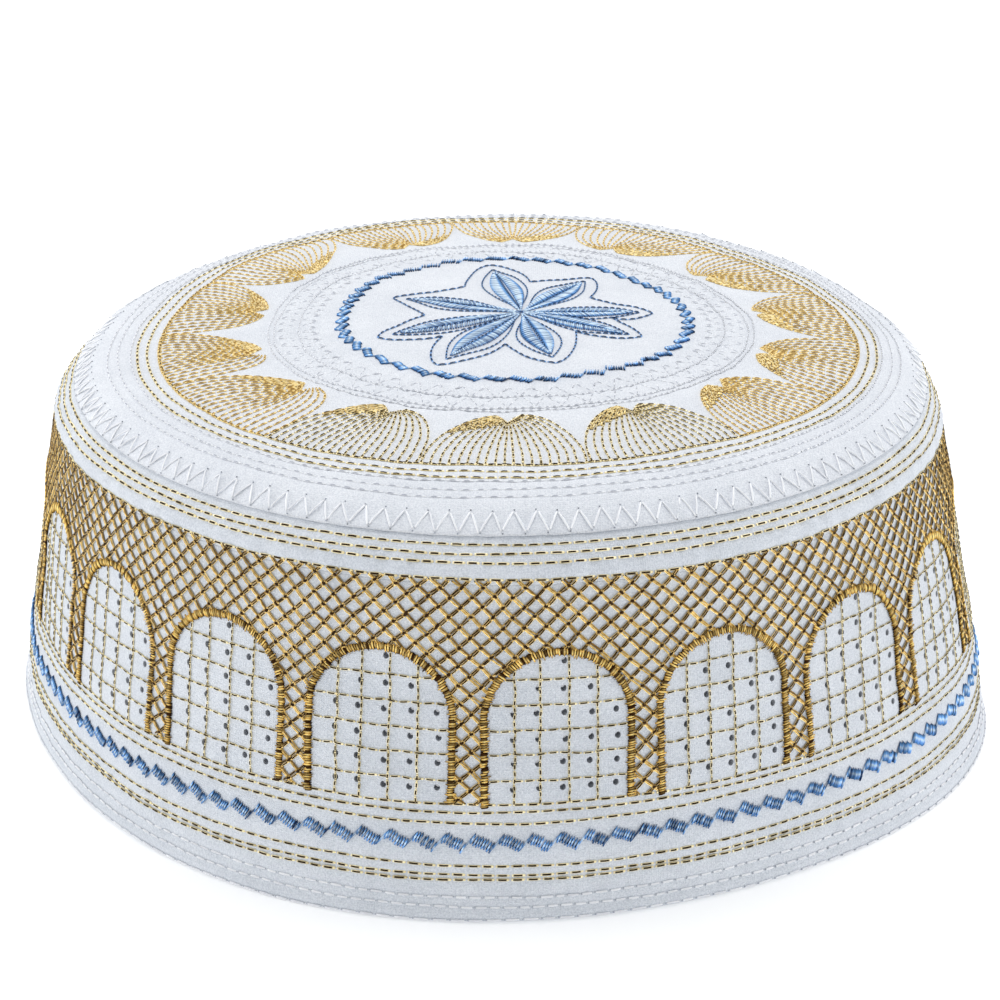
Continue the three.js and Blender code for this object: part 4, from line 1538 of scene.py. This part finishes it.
def fan_stitches(plans, seed):
    """The lines and the feet of one fan, and the rows that fill its head."""
    rng = np.random.default_rng(seed)
    lines, fill = [], []
    for k, plan in enumerate(plans):
        a, b = split_line(plan, FAN_PITCH, rng.uniform(0, FAN_PHASE))
        lines.append(crown_between(RUNNING_STITCH, a, b, **FAN_LOOK))
        if k >= FILLED_LINES:
            continue
        for part in FILL_PARTS:
            tail = plan[FILL_START + k :] * (1 - part) + plans[k + 1][FILL_START + k :] * part
            tail = tail + rng.normal(0, FILL_WANDER, tail.shape)
            a, b = split_line(tail, FILL_PITCH, rng.uniform(0, FILL_PHASE))
            fill.append(crown_between(RUNNING_STITCH, a, b, **FILL_LOOK))
    feet = np.array([plan[0] for plan in plans])
    lines.append(crown_between(RUNNING_STITCH, feet[:-1], feet[1:], **FOOT_LOOK))
    lines.append(crown_between(RUNNING_STITCH, feet[:-1] * LOOP_SHRINK, feet[1:], **LOOP_LOOK))
    return lines, fill


front_lines, other_lines, head_fill = [], [], []
for i, notch in enumerate(FAN_NOTCHES):
    middle, lines = fan_lines(FAN_EDGES[i], FAN_EDGES[i + 1], notch, i)
    lines, fill = fan_stitches([fan_to_plan(middle, line) for line in lines], i + FAN_SEED)
    in_front = abs((middle + 180) % 360 - 180) < FAN_FRONT
    (front_lines if in_front else other_lines).extend(lines)
    head_fill += fill
# The front fans get the copy with the darker painted shade in its dashes.
lay_stitches("crown_fans_front", gold_fan, front_lines)
lay_stitches("crown_fans", light_fan, other_lines)
lay_stitches("crown_fan_fill", orange_satin, head_fill)

# %% [markdown]
# ## The flower
# Eight petals, drawn free hand on the real cap. Each has a dashed outline that meets its neighbours'
# in a corner, a dashed leaf inside it and a leaf of two rows of satin stitch with a vein between them.
# The corners are charted in millimetres from the middle of the crown.

# %% The flower's shape
FLOWER_CENTRE = np.array((1.4, -0.2))
PETAL_TIPS = (
    *((-4.0, 30.9), (15.8, 24.8), (28.5, 2.3), (24.7, -12.7)),
    *((7.9, -27.7), (-12.3, -28.3), (-24.6, -15.2), (-24.2, 10.7)),
)
PETAL_VALLEYS = (
    *((-8.8, 16.5), (3.3, 19.8), (15.6, 11.7), (19.5, -1.6)),
    *((11.8, -10.6), (-1.1, -17.3), (-12.3, -13.9), (-17.7, -1.2)),
)
SHOULDER_PART = 0.74
SHOULDER_WIDTH = 6.0
TIP_WIDTH = 2.6
TIP_DROP = 0.8
PETAL_POINTS = 24


def leaf_sides(start, end, width, steps):
    """Both sides and the middle line of a pointed leaf."""
    t = np.linspace(0, 1, steps)
    run = end - start
    across = np.array((-run[1], run[0])) / np.linalg.norm(run)
    bulge = (width * np.sin(np.pi * t**1.15))[:, None]
    line = start + run * t[:, None]
    return line + across * bulge, line - across * bulge, line


def petal_edge(tip, valley):
    """One side of a petal, from the corner that it shares with its neighbour up to its tip."""
    run = tip - FLOWER_CENTRE
    length = np.linalg.norm(run)
    ahead = run / length
    out = valley - FLOWER_CENTRE
    away = out - ahead * (out @ ahead)
    away = away / np.linalg.norm(away)
    shoulder = FLOWER_CENTRE + ahead * (SHOULDER_PART * length) + away * SHOULDER_WIDTH
    near_tip = tip + away * TIP_WIDTH - ahead * TIP_DROP
    return bend((valley, shoulder, near_tip, tip), PETAL_POINTS)


# %% Flower
OUTLINE_PITCH = 1.75
OUTLINE_LOOK = dict(width=0.42, height=0.4)
LEAF_LINE_START = 2
LEAF_LINE_REACH = 0.9
LEAF_LINE_PITCH = 1.35
LEAF_LINE_WIDTH = 3.9
LEAF_LINE_POINTS = 40
LEAF_LINE_LOOK = dict(width=0.36, height=0.36)
LEAF_REACH = 0.84
LEAF_WIDTH = 3.0
LEAF_POINTS = 50
LEAF_SLANT = 0.7
LEAF_LOOK = dict(width=0.34, height=0.36, lift=0.06, arch=0.25)
LEAF_TONES = (0.4, 0.95)
LEAF_ROWS = slice(2, -1)
VEIN_ROWS = slice(3, -3)
VEIN_PITCH = 1.3
VEIN_LOOK = dict(width=0.34, height=0.34, lift=0.12)


def dashed_line(points, pitch, look):
    """Running stitch along a line on the crown."""
    a, b = split_line(points, pitch)
    return crown_between(RUNNING_STITCH, a, b, **look)


def petal_stitches(tip, valley_before, valley_after):
    """The dashed lines of one petal, and the two satin rows of its leaf."""
    run = tip - FLOWER_CENTRE
    ahead = run / np.linalg.norm(run)
    edges = [petal_edge(tip, valley) for valley in (valley_before, valley_after)]
    lines = [dashed_line(edge, OUTLINE_PITCH, OUTLINE_LOOK) for edge in edges]
    start, end = FLOWER_CENTRE + ahead * LEAF_LINE_START, FLOWER_CENTRE + run * LEAF_LINE_REACH
    for side in leaf_sides(start, end, LEAF_LINE_WIDTH, LEAF_LINE_POINTS)[:2]:
        lines.append(dashed_line(side, LEAF_LINE_PITCH, LEAF_LINE_LOOK))
    end = FLOWER_CENTRE + run * LEAF_REACH
    left, right, middle = leaf_sides(FLOWER_CENTRE, end, LEAF_WIDTH, LEAF_POINTS)
    lines.append(dashed_line(middle[VEIN_ROWS], VEIN_PITCH, VEIN_LOOK))
    left, right, middle = left[LEAF_ROWS], right[LEAF_ROWS], middle[LEAF_ROWS]
    slant = ahead * LEAF_SLANT
    look = dict(LEAF_LOOK, tone=np.resize(LEAF_TONES, len(middle)))
    satin = [crown_between(SATIN_STITCH, left + slant, middle - slant, **look)]
    satin.append(crown_between(SATIN_STITCH, middle - slant, right + slant, **look))
    return lines, satin


flower_lines, flower_satin = [], []
valleys = [np.array(valley) for valley in PETAL_VALLEYS]
for i, tip in enumerate(PETAL_TIPS):
    lines, satin = petal_stitches(np.array(tip), valleys[i], valleys[(i + 1) % len(valleys)])
    flower_lines += lines
    flower_satin += satin
lay_stitches("flower_outline", blue_running, flower_lines)
lay_stitches("flower_leaves", leaf_satin, flower_satin)

# %% [markdown]
# ## Quilting
# Fine white stitches cover the crown between the blue ring and the fans, in two rings of zigzag.

# %% White quilting between the blue ring and the fans
QUILT_TEETH = 64
QUILT_RINGS = ((38.6, 42.4, 0), (42.8, 47.0, 1))
QUILT_PITCH = 2.2
QUILT_LOOK = dict(width=0.3, height=0.26, lift=0.0, arch=0.06)


def quilt_zigzag(inner, outer, phase):
    """One ring of zigzag between two radii, each side of a tooth split in short stitches."""
    angle = (np.arange(2 * QUILT_TEETH + 1) + phase) * 180 / QUILT_TEETH
    points = polar(np.where(np.arange(len(angle)) % 2 == 0, inner, outer), angle)
    sides = [split_line(np.array(pair), QUILT_PITCH) for pair in zip(points[:-1], points[1:])]
    starts, ends = (np.concatenate(part) for part in zip(*sides))
    return crown_between(SHORT_STITCH, starts, ends, **QUILT_LOOK)


lay_stitches("crown_quilting", white_crown, [quilt_zigzag(*ring) for ring in QUILT_RINGS])

# %% [markdown]
# ## Sewing the crown to the band
# A white zigzag runs over the crown's edge. Each V reaches from the band up onto the crown, with a
# small needle hole at each corner, drawn as a grey mark of painted shadow.

# %% Zigzag
ZIGZAGS = 150
ZIGZAG_SEED = 47
ZIGZAG_LEVELS = (66.55, 70.2)
ZIGZAG_WANDER = 0.12
ZIGZAG_LOOK = dict(width=0.4, height=0.34, lift=0.08, arch=0.26, tone=0.9)
EDGE_LEVEL = 67.0
NEEDLE_MARKS = ((70.4, 0.5), (66.45, 0.0))
NEEDLE_REACH = math.radians(0.1)
NEEDLE_LOOK = dict(width=0.24, height=0.3, lift=0.08, arch=0.0)


def zigzag_edge():
    """One long zigzag round the cap, closed at the back."""
    turn = np.arange(2 * ZIGZAGS + 1) * 180 / ZIGZAGS - 180
    rng = np.random.default_rng(ZIGZAG_SEED)
    level = np.where(np.arange(len(turn)) % 2 == 0, *ZIGZAG_LEVELS) + rng.normal(0, ZIGZAG_WANDER, turn.shape)
    turn = turn + np.append(rng.normal(0, ZIGZAG_WANDER, len(turn) - 1), 0)
    turn[-1] = turn[0] + 360
    level[-1] = level[0]
    return chain(level, azimuth_of(turn, EDGE_LEVEL), **ZIGZAG_LOOK)


def needle_marks(level, offset):
    """The small holes where the needle went in, as short grey marks of painted shadow."""
    turn = (np.arange(ZIGZAGS) + offset) * 360 / ZIGZAGS - 180
    azimuth = azimuth_of(turn, EDGE_LEVEL)
    return between(SHORT_STITCH, level, azimuth - NEEDLE_REACH, level, azimuth + NEEDLE_REACH, **NEEDLE_LOOK)


lay_stitches("crown_zigzag", white_plain, [zigzag_edge()])
lay_stitches("needle_holes", needle_shadow, [needle_marks(*mark) for mark in NEEDLE_MARKS])
